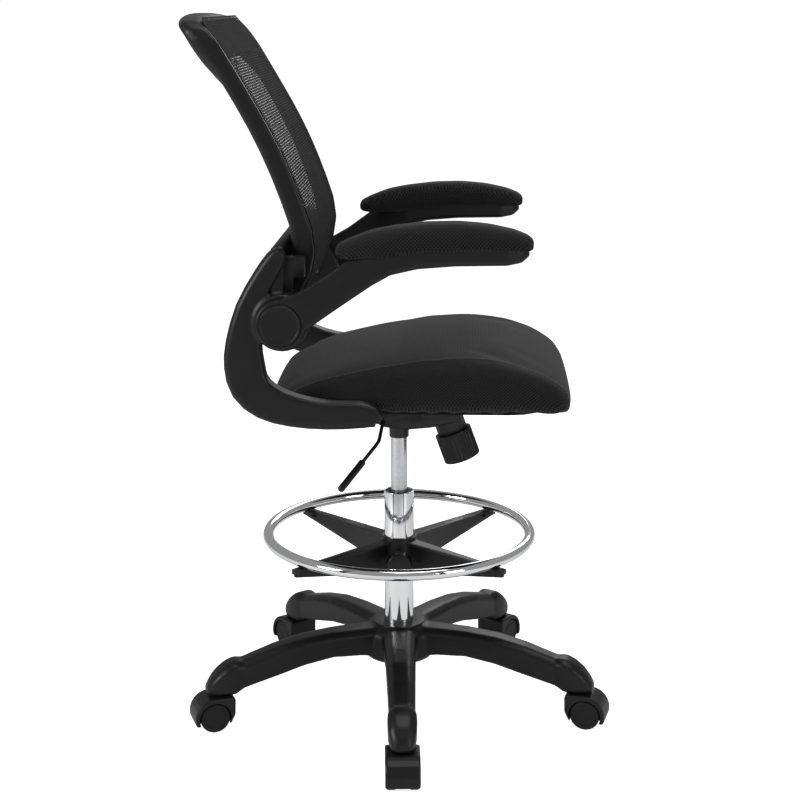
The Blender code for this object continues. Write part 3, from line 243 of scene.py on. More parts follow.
def moulded(name, colour, rough_low, rough_high, grain=0.9 * MM, depth=0.05 * MM):
    """Glass-filled nylon from a spark-eroded mould: satin, with a fine even grain and
    faint cloudy patches where the melt flowed."""
    if name in MADE:
        return MADE[name]
    made, tree, shader, spot = start_material(name)
    cloud = speckle(tree, spot, 60 * MM, 3)
    fine = speckle(tree, spot, grain)
    shade = blend_colours(tree, cloud, scaled(colour, 0.88), scaled(colour, 1.14))
    mixed = math_node(tree, "MULTIPLY_ADD", fine, 0.5, math_node(tree, "MULTIPLY", cloud, 0.5))
    rough = between(tree, mixed, rough_low, rough_high)
    link_in(tree, shader, Base_Color=shade, Roughness=rough)
    emboss(tree, shader, fine, depth, 0.6)
    shader.inputs["Specular IOR Level"].default_value = 0.3
    return made


def nylon():
    return moulded("nylon_spark_eroded", finish_settings().nylon, 0.30, 0.44)


def nylon_smooth():
    """The same nylon from the polished side of the mould, as on the arms and the frame."""
    return moulded("nylon_satin", finish_settings().nylon, 0.34, 0.46, 1.4 * MM, 0.03 * MM)


def wheel_plastic():
    """Hard polyurethane, moulded: dull, with fine scuffs from the floor."""
    return moulded("polyurethane_moulded", finish_settings().wheel, 0.42, 0.58)


def chrome():
    """Nickel-chrome plate on polished tube: a mirror with faint swirls from the buffing
    wheel."""
    if "chrome_plate" in MADE:
        return MADE["chrome_plate"]
    made, tree, shader, spot = start_material("chrome_plate")
    swirl = speckle(tree, spot, 14 * MM, 4)
    shade = blend_colours(
        tree, swirl, scaled(finish_settings().chrome, 0.94), finish_settings().chrome
    )
    link_in(tree, shader, Base_Color=shade, Roughness=between(tree, swirl, 0.05, 0.10))
    shader.inputs["Metallic"].default_value = 1
    emboss(tree, shader, swirl, 0.02 * MM, 0.3)
    return made


def ground_steel():
    """Steel ground on a centreless grinder: satin, with fine rings around its axis."""
    if "steel_ground" in MADE:
        return MADE["steel_ground"]
    made, tree, shader, spot = start_material("steel_ground")
    stretch = add(tree, "ShaderNodeMapping", {"Vector": spot, "Scale": (40, 40, 2600)})
    rings = add(
        tree, "ShaderNodeTexNoise", {"Vector": stretch.outputs[0], "Scale": 1.0, "Detail": 1.0}
    ).outputs["Fac"]
    colour = finish_settings().steel
    shade = blend_colours(tree, rings, scaled(colour, 0.9), scaled(colour, 1.08))
    link_in(tree, shader, Base_Color=shade, Roughness=between(tree, rings, 0.18, 0.32))
    shader.inputs["Metallic"].default_value = 1
    emboss(tree, shader, rings, 0.01 * MM, 0.4)
    return made


def powder_coat():
    """Pressed steel under black powder coat: half dull, with an orange-peel skin."""
    if "steel_powder_coated" in MADE:
        return MADE["steel_powder_coated"]
    made, tree, shader, spot = start_material("steel_powder_coated")
    peel = speckle(tree, spot, 2.2 * MM, 1.5)
    cloud = speckle(tree, spot, 40 * MM, 2)
    colour = finish_settings().coat
    shade = blend_colours(tree, cloud, scaled(colour, 0.85), scaled(colour, 1.2))
    link_in(tree, shader, Base_Color=shade, Roughness=between(tree, peel, 0.40, 0.55))
    emboss(tree, shader, peel, 0.06 * MM, 0.7)
    return made


def dust_cloth():
    """Spun-bonded polypropylene, stapled under the seat's board: thin, dull and dimpled by
    its bond points."""
    if "polypropylene_spunbond" in MADE:
        return MADE["polypropylene_spunbond"]
    made, tree, shader, spot = start_material("polypropylene_spunbond")
    dimples = add(
        tree, "ShaderNodeTexVoronoi", {"Vector": spot, "Scale": 1 / (2.4 * MM)}
    ).outputs["Distance"]
    fibres = speckle(tree, spot, 0.7 * MM, 3)
    colour = finish_settings().liner
    shade = blend_colours(tree, fibres, scaled(colour, 0.7), scaled(colour, 1.4))
    link_in(tree, shader, Base_Color=shade, Roughness=between(tree, fibres, 0.8, 0.95))
    shader.inputs["Specular IOR Level"].default_value = 0.25
    emboss(tree, shader, dimples, 0.25 * MM, 0.6)
    return made


def spacer_cloth(name, ribbed_top):
    """Polyester spacer cloth, warp-knitted: rows of small diagonal holes, a soft sheen at
    grazing angles, and on the seat's top close ribs from side to side. Holes and ribs
    are drawn coarser than the real ones, so that they show."""
    if name in MADE:
        return MADE[name]
    made, tree, shader, spot = start_material(name)
    sizes = size_settings()
    split = add(tree, "ShaderNodeSeparateXYZ", {"Vector": spot})
    x, y, z = (split.outputs[key] for key in ("X", "Y", "Z"))
    aside = math_node(tree, "ABSOLUTE", math_node(tree, "SUBTRACT", x, COLUMN.x))
    drop = math_node(tree, "SUBTRACT", z, aside)  # grows smaller all the way down a side
    turns = math.pi / sizes.weave
    up, down = (
        math_node(
            tree, "SINE",
            math_node(tree, "MULTIPLY", math_node(tree, step, y, drop), turns),
        )
        for step in ("ADD", "SUBTRACT")
    )
    holes = math_node(tree, "ABSOLUTE", math_node(tree, "MULTIPLY", up, down))
    threads = ramp(tree, holes, 0.28, 0.66, 1.0, 0.0, interpolation_type="SMOOTHSTEP")
    fine = speckle(tree, spot, 0.8 * MM, 1)
    cloud = speckle(tree, spot, 45 * MM, 3)
    pattern = threads
    if ribbed_top:
        panel = add(tree, "ShaderNodeAttribute", attribute_name=PANEL).outputs["Fac"]
        on_top = ramp(tree, panel, SEAM - 0.01, SEAM + 0.01, 0.0, 1.0)
        rib = math_node(tree, "MULTIPLY", y, math.tau / sizes.rib)
        rib = math_node(tree, "MULTIPLY_ADD", math_node(tree, "SINE", rib), 0.5, 0.5)
        top = math_node(tree, "MULTIPLY_ADD", rib, 0.34, 0.66)
        pattern = add(
            tree, "ShaderNodeMix", {0: on_top, 2: threads, 3: top}, data_type="FLOAT"
        ).outputs[0]
    thread, gap = finish_settings().thread, finish_settings().gap
    worn = blend_colours(tree, cloud, scaled(thread, 0.86), scaled(thread, 1.16))
    shade = blend_colours(tree, pattern, gap, worn)
    if ribbed_top:  # painted highlight: a thin band along the top seam is drawn paler, standing in for light on the seam's ridge
        off = math_node(tree, "ABSOLUTE", math_node(tree, "SUBTRACT", panel, SEAM))
        seam_highlight = ramp(tree, off, 0.006, 0.018, 0.7, 0.0)
        shade = blend_colours(tree, seam_highlight, shade, scaled(thread, 3.4))
    link_in(tree, shader, Base_Color=shade, Roughness=between(tree, fine, 0.72, 0.9))
    shader.inputs["Sheen Weight"].default_value = 0.07
    shader.inputs["Sheen Roughness"].default_value = 0.45
    shader.inputs["Specular IOR Level"].default_value = 0.15
    height = math_node(tree, "MULTIPLY_ADD", fine, 0.25, pattern)
    emboss(tree, shader, height, 0.5 * MM, 0.8)
    return made


def back_net():
    """Stretched polyester net: flat threads around rounded holes in straight rows, so
    that what is behind shows through. It follows its own UV map, in metres."""
    if "polyester_net_stretched" in MADE:
        return MADE["polyester_net_stretched"]
    made, tree, shader, _ = start_material("polyester_net_stretched")
    pitch = size_settings().net
    flat = add(tree, "ShaderNodeUVMap", uv_map="net").outputs["UV"]
    split = add(tree, "ShaderNodeSeparateXYZ", {"Vector": flat})
    wide = math_node(tree, "MULTIPLY", split.outputs["X"], math.pi / (0.8 * pitch))
    tall = math_node(tree, "MULTIPLY", split.outputs["Y"], math.pi / pitch)
    first = math_node(tree, "ABSOLUTE", math_node(tree, "SINE", wide))
    second = math_node(tree, "ABSOLUTE", math_node(tree, "SINE", tall))
    web = math_node(tree, "MULTIPLY", first, second)
    solid = ramp(tree, web, 0.78, 0.90, 1.0, 0.0, interpolation_type="SMOOTHSTEP")
    thread = finish_settings().thread
    cloud = speckle(tree, flat, 50 * MM, 2)
    shade = blend_colours(
        tree, math_node(tree, "MULTIPLY", cloud, second),
        scaled(thread, 1.5), scaled(thread, 0.2),
    )
    rough = between(tree, web, 0.80, 0.95)
    link_in(tree, shader, Alpha=solid, Base_Color=shade, Roughness=rough)
    shader.inputs["Specular IOR Level"].default_value = 0.06
    emboss(tree, shader, solid, 0.3 * MM, 0.5)
    return made


# --- Modelling helpers -------------------------------------------------------


def share(value):
    """The value, kept from 0 to 1."""
    return max(0.0, min(1.0, value))


def deselect():
    if bpy.context.object and bpy.context.object.mode != "OBJECT":
        bpy.ops.object.mode_set(mode="OBJECT")
    bpy.ops.object.select_all(action="DESELECT")


def pick(piece):
    """Makes piece the only selected and the active object."""
    deselect()
    piece.select_set(True)
    bpy.context.view_layer.objects.active = piece
    return piece


def apply_place(piece):
    pick(piece)
    bpy.ops.object.transform_apply(location=True, rotation=True, scale=True)


def apply_all(piece):
    pick(piece)
    for modifier in list(piece.modifiers):
        bpy.ops.object.modifier_apply(modifier=modifier.name)


def shade_soft(piece):
    pick(piece)
    bpy.ops.object.shade_smooth()


def round_off(piece, angle=35):
    """Smooth shading, with edges sharper than angle kept."""
    pick(piece)
    bpy.ops.object.shade_smooth_by_angle(angle=math.radians(angle))


def edit_whole(piece):
    """Enters edit mode with all of piece selected."""
    pick(piece)
    bpy.ops.object.mode_set(mode="EDIT")
    bpy.ops.mesh.select_all(action="SELECT")


def copy_of(node, name):
    """A copy of a CAD node's mesh, merged into one skin, as a new piece."""
    source = frame["nodes"][node]
    piece = bpy.data.objects.new(name, source.data.copy())
    bpy.context.scene.collection.objects.link(piece)
    piece.data.materials.clear()
    edit_whole(piece)
    bpy.ops.mesh.remove_doubles(threshold=MERGE)
    bpy.ops.mesh.customdata_custom_splitnormals_clear()
    bpy.ops.object.mode_set(mode="OBJECT")
    return piece


def settle(piece, body, finish, *nodes, slot=None):
    """Hands a finished piece to its body, in place of the CAD nodes that it stands for."""
    if not piece.data.materials:
        piece.data.materials.append(finish)
    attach(piece, body)
    if nodes:
        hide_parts(*nodes)
    return piece


def even_out(piece, voxel, passes):
    """Remeshes a piece in cells of one size, and smooths it over."""
    remesh = piece.modifiers.new("Even", "REMESH")
    remesh.mode = "VOXEL"
    remesh.voxel_size = voxel
    smooth = piece.modifiers.new("Flow", "SMOOTH")
    smooth.factor = 0.5
    smooth.iterations = passes
    apply_all(piece)


def crisp(node, name, width):
    """A copy of a flat-sided CAD piece, with its flats cleaned up and its edges rounded."""
    piece = copy_of(node, name)
    edit_whole(piece)
    bpy.ops.mesh.dissolve_limited(angle_limit=math.radians(1.5))
    bpy.ops.object.mode_set(mode="OBJECT")
    bevel = piece.modifiers.new("Edges", "BEVEL")
    bevel.width = width
    bevel.segments = 2
    bevel.limit_method = "ANGLE"
    bevel.angle_limit = math.radians(28)
    bevel.use_clamp_overlap = True
    apply_all(piece)
    round_off(piece, 40)
    return piece


def melted(node, name, voxel, passes):
    """A copy of a freely curved CAD piece, remeshed finely and smoothed over."""
    piece = copy_of(node, name)
    even_out(piece, voxel, passes)
    shade_soft(piece)
    return piece


def choose(piece, wanted):
    """Enters edit mode with only the points for which wanted(co) holds selected."""
    pick(piece)
    bpy.ops.object.mode_set(mode="EDIT")
    bpy.ops.mesh.select_mode(type="VERT")
    bpy.ops.mesh.select_all(action="DESELECT")
    bpy.ops.object.mode_set(mode="OBJECT")
    for vert in piece.data.vertices:
        vert.select = wanted(vert.co)
    bpy.ops.object.mode_set(mode="EDIT")


def turned(name, profile, axis_spot, axis=(0, 0, 1), steps=64):
    """Draws a profile of (radius, distance along the axis) points by extruding one point
    from place to place, and spins it about the axis."""
    axis = Vector(axis).normalized()
    out = axis.orthogonal().normalized()
    spot = Vector(axis_spot)
    points = [spot + out * radius + axis * along for radius, along in profile]
    deselect()
    bpy.ops.mesh.primitive_plane_add(size=MM, location=points[0])
    piece = bpy.context.object
    piece.name = name
    apply_place(piece)
    bpy.ops.object.mode_set(mode="EDIT")
    bpy.ops.mesh.select_mode(type="VERT")
    bpy.ops.mesh.select_all(action="SELECT")
    bpy.ops.mesh.merge(type="CENTER")
    for start, end in zip(points, points[1:]):
        bpy.ops.mesh.extrude_vertices_move(TRANSFORM_OT_translate={"value": end - start})
    if profile[0][0] > 0 and profile[-1][0] > 0:
        bpy.ops.object.mode_set(mode="OBJECT")
        ends = (points[0], points[-1])
        choose(piece, lambda co: min((co - place).length for place in ends) < 0.004 * MM)
        bpy.ops.mesh.edge_face_add()
    bpy.ops.mesh.select_all(action="SELECT")
    bpy.ops.mesh.spin(steps=steps, angle=math.tau, center=spot, axis=axis)
    bpy.ops.mesh.select_all(action="SELECT")
    bpy.ops.mesh.remove_doubles(threshold=0.002 * MM)
    bpy.ops.mesh.normals_make_consistent(inside=False)
    bpy.ops.object.mode_set(mode="OBJECT")
    return piece


def twin_of(piece, name, move):
    """A copy of a finished piece with its own mesh, moved, and with the move applied."""
    twin = bpy.data.objects.new(name, piece.data.copy())
    bpy.context.scene.collection.objects.link(twin)
    twin.matrix_world = move
    apply_place(twin)
    return twin


def swing(old, new, angle):
    """The move that carries the place old to new and turns about the upright there."""
    turn = Matrix.Rotation(angle, 4, "Z")
    return Matrix.Translation(new) @ turn @ Matrix.Translation(-old)


def arc(centre, radius, start, end, steps):
    """Points on an arc in a profile, from angle start to end in degrees."""
    return [
        (
            centre[0] + radius * math.cos(math.radians(start + (end - start) * k / steps)),
            centre[1] + radius * math.sin(math.radians(start + (end - start) * k / steps)),
        )
        for k in range(steps + 1)
    ]


def middle(node):
    low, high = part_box(node)
    return (low + high) / 2


def joint_line(name):
    """A place on a joint's axis, and the axis."""
    joint = next(j for j in frame["joints"] if j["name"] == name)
    return Vector(joint["pos_m"]), Vector(joint["axis"]).normalized()


def extent(node, spot, axis):
    """How far a CAD node reaches back and forward along an axis, and out from it."""
    offsets = [v.co - spot for v in frame["nodes"][node].data.vertices]
    reach = [offset.dot(axis) for offset in offsets]
    return min(reach), max(reach), max(offset.cross(axis).length for offset in offsets)


def paint(finish, *nodes):
    """Gives CAD nodes that stay their real finish."""
    for node in nodes:
        for slot in frame["nodes"][node].material_slots:
            slot.link = "OBJECT"
            slot.material = finish


# --- Operators ---------------------------------------------------------------


class CHAIR_OT_stage(bpy.types.Operator):
    """Sets up the floor, the studio light and the camera"""

    bl_idname = "chair.stage"
    bl_label = "Stage"

    def execute(self, context):
        scene = context.scene
        scene.view_settings.view_transform = "Standard"
        deselect()
        bpy.ops.mesh.primitive_plane_add(size=FLOOR_SIZE, location=(0, 0, FLOOR - FLOOR_GAP))
        floor = context.object
        floor.name = "studio_floor"
        apply_place(floor)
        made, tree, shader, spot = start_material("studio_paper")
        cloud = speckle(tree, spot, 1.5, 2)
        colour = finish_settings().floor
        shader.inputs["Roughness"].default_value = 0.9
        shade = blend_colours(tree, cloud, scaled(colour, 0.99), colour)
        seen = add(tree, "ShaderNodeLightPath").outputs["Is Camera Ray"]
        glow = between(tree, seen, 0.0, FLOOR_GLOW)
        link_in(tree, shader, Base_Color=shade, Emission_Strength=glow)
        shader.inputs["Emission Color"].default_value = (1, 1, 1, 1)
        floor.data.materials.append(made)
        world = scene.world or bpy.data.worlds.new("studio")
        scene.world = world
        world.use_nodes = True
        sky = world.node_tree
        background = sky.nodes["Background"]
        background.inputs["Color"].default_value = (1, 1, 1, 1)
        seen = add(sky, "ShaderNodeLightPath").outputs["Is Camera Ray"]
        link_in(sky, background, Strength=between(sky, seen, WORLD_ON_CHAIR, WORLD_SEEN))
        for name, place, aim, size, watts in LAMPS:
            data = bpy.data.lights.new(name, "AREA")
            data.size = size
            data.energy = watts
            lamp = bpy.data.objects.new(name, data)
            scene.collection.objects.link(lamp)
            lamp.location = COLUMN + Vector(place)
            gaze = Vector(aim) - Vector(place)
            lamp.rotation_euler = gaze.to_track_quat("-Z", "Y").to_euler()
        for name, degrees in DARK_CARDS:
            turn = math.radians(degrees)
            away = Vector((-math.cos(turn), math.sin(turn), 0))
            deselect()
            bpy.ops.mesh.primitive_plane_add(size=1)
            card = context.object
            card.name = name
            card.dimensions = (CARD_WIDTH, CARD_HEIGHT, 0)
            card.rotation_euler = away.to_track_quat("Z", "Y").to_euler()
            card.location = COLUMN + away * CARD_DISTANCE + Vector((0, 0, CARD_HEIGHT / 2))
            card.visible_camera = False
            card.visible_shadow = False
            apply_place(card)
            card.data.materials.append(powder_coat())
        eye = bpy.data.cameras.new("camera")
        eye.lens = CAMERA_LENS
        eye.sensor_width = CAMERA_SENSOR
        eye.shift_y = CAMERA_SHIFT
        camera = bpy.data.objects.new("camera", eye)
        scene.collection.objects.link(camera)
        camera.location = COLUMN + Vector(CAMERA_PLACE) + Vector((0, 0, FLOOR))
        level = math.cos(CAMERA_PITCH)
        gaze = Vector(
            (
                level * math.cos(CAMERA_HEADING),
                level * math.sin(CAMERA_HEADING),
                math.sin(CAMERA_PITCH),
            )
        )
        camera.rotation_euler = gaze.to_track_quat("-Z", "Y").to_euler()
        scene.camera = camera
        return {"FINISHED"}


class CHAIR_OT_column(bpy.types.Operator):
    """Makes the chromed column, its bush, the gas cylinder and its collar"""

    bl_idname = "chair.column"
    bl_label = "Column"

    def execute(self, context):
        radius = (TUBE_HIGH.x - TUBE_LOW.x) / 2
        wall = 2 * MM
        low, high = TUBE_LOW.z, TUBE_HIGH.z
        profile = [(radius - wall, low), (radius, low)]
        profile += arc((radius - 0.9 * MM, high - 0.9 * MM), 0.9 * MM, 0, 90, 4)
        profile += arc((radius - wall + 0.6 * MM, high - 0.6 * MM), 0.6 * MM, 90, 180, 3)
        tube = turned("column_chrome_tube", profile, COLUMN, steps=96)
        round_off(tube)
        settle(tube, "base", chrome(), "column_tube", slot="chrome")
        hole, bore = 6 * MM, radius - wall
        profile = [(hole, low), (bore, low), (bore, low + wall), (hole, low + wall)]
        cup = turned("column_floor", profile, COLUMN, steps=48)
        settle(cup, "base", powder_coat(), slot="black_steel")

        low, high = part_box("column_bush")
        outer = (high.x - low.x) / 2
        inner = BUSH_BORE
        profile = [(inner, low.z), (outer, low.z)]
        profile += arc((outer - 1.2 * MM, high.z - 1.2 * MM), 1.2 * MM, 0, 90, 4)
        profile += [(inner + 4.2 * MM, high.z), (inner + 3.4 * MM, high.z - 1.2 * MM)]
        profile += [(inner + 0.8 * MM, high.z - 3.5 * MM), (inner, high.z - 5 * MM)]
        bush = turned("column_guide_bush", profile, COLUMN, steps=72)
        round_off(bush)
        settle(bush, "base", nylon(), "column_bush", slot="nylon")

        low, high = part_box("gas_cylinder")
        outer = (high.x - low.x) / 2
        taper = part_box("column_collar")[0].z
        profile = [(5.5 * MM, low.z)]
        profile += arc((outer - 1.5 * MM, low.z + 1.5 * MM), 1.5 * MM, -90, 0, 4)
        profile += [(outer, taper), (outer - 1 * MM, high.z), (3.4 * MM, high.z)]
        profile += [(3.4 * MM, high.z - 8 * MM), (5.5 * MM, low.z + 8 * MM)]
        cylinder = turned("gas_cylinder_satin", profile, COLUMN, steps=72)
        round_off(cylinder)
        settle(cylinder, "lift", ground_steel(), "gas_cylinder", slot="chrome")

        low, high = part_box("column_collar")
        outer = (high.x - low.x) / 2
        inner = BUSH_BORE
        profile = [(inner, low.z)]
        profile += arc((outer - 3.2 * MM, low.z + 1.2 * MM), 1.2 * MM, -90, 0, 4)
        profile += [(outer - 2 * MM, low.z + 12 * MM), (outer - 1.2 * MM, low.z + 16 * MM)]
        profile += [(outer, low.z + 19 * MM), (outer, high.z), (inner - 0.8 * MM, high.z)]
        collar = turned("column_socket", profile, COLUMN, steps=64)
        round_off(collar)
        settle(collar, "lift", powder_coat(), "column_collar", slot="black_steel")
        paint(ground_steel(), "piston_rod", "release_pin", "thrust_bearing")
        return {"FINISHED"}


class CHAIR_OT_foot_ring(bpy.types.Operator):
    """Makes the foot ring, its four-spoke spider and the clamp knob"""

    bl_idname = "chair.foot_ring"
    bl_label = "Foot ring"

    def execute(self, context):
        low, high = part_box("foot_ring")
        tube = (high.z - low.z) / 2
        radius = (high.x - low.x) / 2 - tube
        height = (low.z + high.z) / 2
        circle = arc((radius, height), tube, 0, 360, 20)[:-1]
        ring = turned("foot_ring_tube", circle, COLUMN, steps=128)
        shade_soft(ring)
        settle(ring, "ring", chrome(), "foot_ring", slot="chrome")
        spider = crisp("ring_spider", "ring_four_spokes", 0.8 * MM)
        settle(spider, "ring", nylon(), "ring_spider", slot="nylon")
        spot, axis = joint_line("ring_clamp_turn")
        tip, end, away = extent("ring_knob", spot, axis)
        start = end - 27 * MM
        profile = [(0, tip), (4 * MM, tip), (4 * MM, start), (0.62 * away, start)]
        profile += [(0.66 * away, start + 3 * MM), (0.9 * away, start + 6 * MM)]
        profile += arc((away - 3 * MM, start + 11 * MM), 3 * MM, -50, 20, 4)
        profile += [(0.93 * away, end - 6.5 * MM)]
        profile += arc((0.93 * away - 4 * MM, end - 5 * MM), 4 * MM, 0, 75, 5)
        profile += [(0.4 * away, end - 0.3 * MM), (0, end)]
        grip = turned("ring_clamp_knob", profile, spot, axis, steps=60)
        flute(grip, spot, axis, start + 5 * MM, end - 5 * MM, 10, 1.3 * MM, 0.6 * away)
        round_off(grip, 50)
        settle(grip, "ring_clamp", nylon(), "ring_knob", slot="nylon")
        return {"FINISHED"}


def flute(piece, spot, axis, start, end, count, depth, inside):
    """Presses flutes into a turned piece between two places along its axis, in three
    steps, each narrower and shorter than the one before."""
    out = axis.orthogonal().normalized()
    side = axis.cross(out)

    def within(level, trim):
        def wanted(co):
            offset = co - spot
            along = offset.dot(axis)
            away = offset - axis * along
            turn = math.atan2(away.dot(side), away.dot(out))
            return (
                start + trim <= along <= end - trim
                and away.length > inside
                and 0.5 - 0.5 * math.cos(count * turn) > level
            )

        return wanted

    for level, trim in ((0.15, 0.0), (0.5, 0.8 * MM), (0.85, 1.6 * MM)):
        choose(piece, within(level, trim))
        bpy.ops.transform.shrink_fatten(value=-depth / 3)
        bpy.ops.object.mode_set(mode="OBJECT")


class CHAIR_OT_base(bpy.types.Operator):
    """Makes the five-leg base and the ring line on its hub"""

    bl_idname = "chair.base"
    bl_label = "Base"

    def execute(self, context):
        star = melted("star_base", "base_five_legs", 2.2 * MM, 26)
        settle(star, "base", nylon(), "star_base", slot="nylon")
        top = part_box("star_base")[1].z
        bore = (TUBE_HIGH.x - TUBE_LOW.x) / 2 + 0.5 * MM
        profile = [(bore, top - 2 * MM), (bore, top + 0.1 * MM)]
        profile += arc((43.2 * MM, top - 0.8 * MM), 1.4 * MM, 90, 0, 5)
        profile += [(44.6 * MM, top - 4 * MM), (43 * MM, top - 4 * MM), (43 * MM, top - 2 * MM)]
        disc = turned("hub_top_plate", profile, COLUMN, steps=96)
        round_off(disc)
        settle(disc, "base", nylon(), slot="nylon")
        return {"FINISHED"}


class CHAIR_OT_casters(bpy.types.Operator):
    """Makes the five hooded casters and their ten wheels"""

    bl_idname = "chair.casters"
    bl_label = "Casters"

    def execute(self, context):
        hood = melted("caster_1_hood", "hood_pattern", 1 * MM, 9)
        first, heading = self.place(1)
        wheel = self.wheel(first, heading)
        for number in range(1, 6):
            axle, angle = self.place(number)
            turn = angle - heading
            shell = twin_of(hood, f"caster_{number}_shell", swing(first, axle, turn))
            settle(shell, f"caster_{number}", nylon(), f"caster_{number}_hood", slot="nylon")
            paint(ground_steel(), f"caster_{number}_stem", f"caster_{number}_axle")
            for side, half_turn in (("left", 0), ("right", math.pi)):
                node = f"caster_{number}_wheel_{side}"
                tyre = twin_of(wheel, f"{node}_tyre", swing(first, axle, turn + half_turn))
                settle(tyre, f"caster_{number}_{side}", wheel_plastic(), node, slot="tread")
        for pattern in (hood, wheel):
            bpy.data.objects.remove(pattern)
        return {"FINISHED"}

    def place(self, number):
        """The middle of a caster's axle, and the heading from there to the left wheel,
        taken from the wheel's joint."""
        axle = middle(f"caster_{number}_axle")
        way = joint_line(f"caster_{number}_left_roll")[1]
        if way.dot(middle(f"caster_{number}_wheel_left") - axle) < 0:
            way = -way
        return axle, math.atan2(way.y, way.x)

    def wheel(self, axle, heading):
        """The first caster's left wheel: a tread with a rounded edge, a groove around the
        disc, and a bore that ends inside."""
        axis = Vector((math.cos(heading), math.sin(heading), 0))
        inner, outer, _ = extent("caster_1_wheel_left", axle, axis)
        radius = axle.z - FLOOR
        profile = [(0, inner + 11.3 * MM), (3.4 * MM, inner + 11.3 * MM), (3.4 * MM, inner)]
        profile += [(radius - 2.5 * MM, inner)]
        profile += arc((radius - 2 * MM, inner + 2 * MM), 2 * MM, -70, 0, 4)
        profile += arc((radius - 2.6 * MM, outer - 2.6 * MM), 2.6 * MM, 0, 80, 5)
        profile += [(0.80 * radius, outer - 0.1 * MM), (0.76 * radius, outer - 0.9 * MM)]
        profile += [(0.72 * radius, outer - 0.9 * MM), (0.69 * radius, outer - 0.2 * MM)]
        profile += [(0.3 * radius, outer - 0.1 * MM), (0, outer - 0.3 * MM)]
        wheel = turned("wheel_pattern", profile, axle, axis, steps=48)
        round_off(wheel, 40)
        return wheel


class CHAIR_OT_mechanism(bpy.types.Operator):
    """Makes the tilt housing, the tension knob and the height lever"""

    bl_idname = "chair.mechanism"
    bl_label = "Mechanism"

    def execute(self, context):
        housing = crisp("mechanism_housing", "tilt_housing", 0.8 * MM)
        settle(housing, "lift", powder_coat(), "mechanism_housing", slot="black_steel")
        plate = crisp("seat_plate", "seat_mounting_plate", 0.6 * MM)
        settle(plate, "seat", powder_coat(), "seat_plate", slot="black_steel")
        paint(dust_cloth(), "seat_pan")
        paint(powder_coat(), "tilt_pin")
        paint(ground_steel(), "tension_spring", "hinge_pin_left", "hinge_pin_right")
        spot, axis = joint_line("tension_turn")
        axis = -axis
        top, end, away = extent("tension_knob", spot, axis)
        profile = [(0, top), (5 * MM, top), (5 * MM, end - 24 * MM), (21.8 * MM, end - 24 * MM)]
        profile += [(21.8 * MM, 0.2 * MM), (away - 2 * MM, 0.2 * MM)]
        profile += arc((away - 1.2 * MM, 1.2 * MM), 1.2 * MM, -90, 0, 3)
        steps = 14
        profile += [(away, 3 * MM + (end - 8 * MM) * k / steps) for k in range(1, steps + 1)]
        profile += arc((away - 3 * MM, end - 3 * MM), 3 * MM, 0, 90, 5)
        profile += [(0.7 * away, end), (0.66 * away, end - 1 * MM), (0, end - 1 * MM)]
        knob = turned("tension_knob_ribbed", profile, spot, axis, steps=240)
        flute(knob, spot, axis, 4 * MM, end - 4 * MM, 32, size_settings().knob_rib, 0.9 * away)
        round_off(knob, 60)
        settle(knob, "tension", nylon(), "tension_knob", slot="nylon")
        lever = melted("height_lever", "height_lever_bar", 0.9 * MM, 6)
        settle(lever, "lever", powder_coat(), "height_lever", slot="black_steel")
        grip = melted("lever_grip", "height_lever_grip", 0.7 * MM, 8)
        settle(grip, "lever", nylon(), "lever_grip", slot="nylon")
        return {"FINISHED"}


class CHAIR_OT_arms(bpy.types.Operator):
    """Makes the side arms, the armrest beams and their hinge caps"""

    bl_idname = "chair.arms"
    bl_label = "Arms"

    def execute(self, context):
        for side in ("left", "right"):
            arm = melted(f"side_arm_{side}", f"side_arm_{side}_shell", 2 * MM, 12)
            settle(arm, "seat", nylon_smooth(), f"side_arm_{side}", slot="nylon")
            beam = melted(f"armrest_beam_{side}", f"armrest_bar_{side}", 1.4 * MM, 18)
            body = f"armrest_{side}"
            settle(beam, body, nylon_smooth(), f"armrest_beam_{side}", slot="nylon")
        low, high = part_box("hinge_cap_left")
        spot = (low + high) / 2
        radius = (high.z - low.z) / 2
        thick = high.x - low.x
        profile = [(0, -thick / 2), (radius, -thick / 2), (radius, thick / 2 - 1.6 * MM)]
        profile += arc((radius - 1.4 * MM, thick / 2 - 1.4 * MM), 1.4 * MM, 10, 100, 5)
        profile += [(radius - 3.2 * MM, thick / 2 - 1.3 * MM)]
        profile += [(radius - 5 * MM, thick / 2 - 1.5 * MM), (0, thick / 2 - 0.6 * MM)]
        outward = 1 if spot.x > COLUMN.x else -1
        cap = turned("hinge_cover_left", profile, spot, (outward, 0, 0), steps=80)
        round_off(cap, 40)
        half_turn = swing(spot, middle("hinge_cap_right"), math.pi)
        other = twin_of(cap, "hinge_cover_right", half_turn)
        for side, cover in (("left", cap), ("right", other)):
            body = f"armrest_{side}"
            settle(cover, body, nylon_smooth(), f"hinge_cap_{side}", slot="nylon")
        return {"FINISHED"}


def front_of_back():
    """Makes a search for the foremost place of the back's frame or net at (x, z)."""
    trees = []
    for node in ("back_frame", "back_mesh"):
        mesh = frame["nodes"][node].data
        mesh.calc_loop_triangles()
        points = [v.co.copy() for v in mesh.vertices]
        faces = [tuple(t.vertices) for t in mesh.loop_triangles]
        trees.append(BVHTree.FromPolygons(points, faces))

    def find(x, z):
        found = []
        for tree in trees:
            hit = tree.ray_cast(Vector((x, -1, z)), Vector((0, 1, 0)))[0]
            if hit is not None:
                found.append(hit.y)
        return min(found) if found else None

    return find


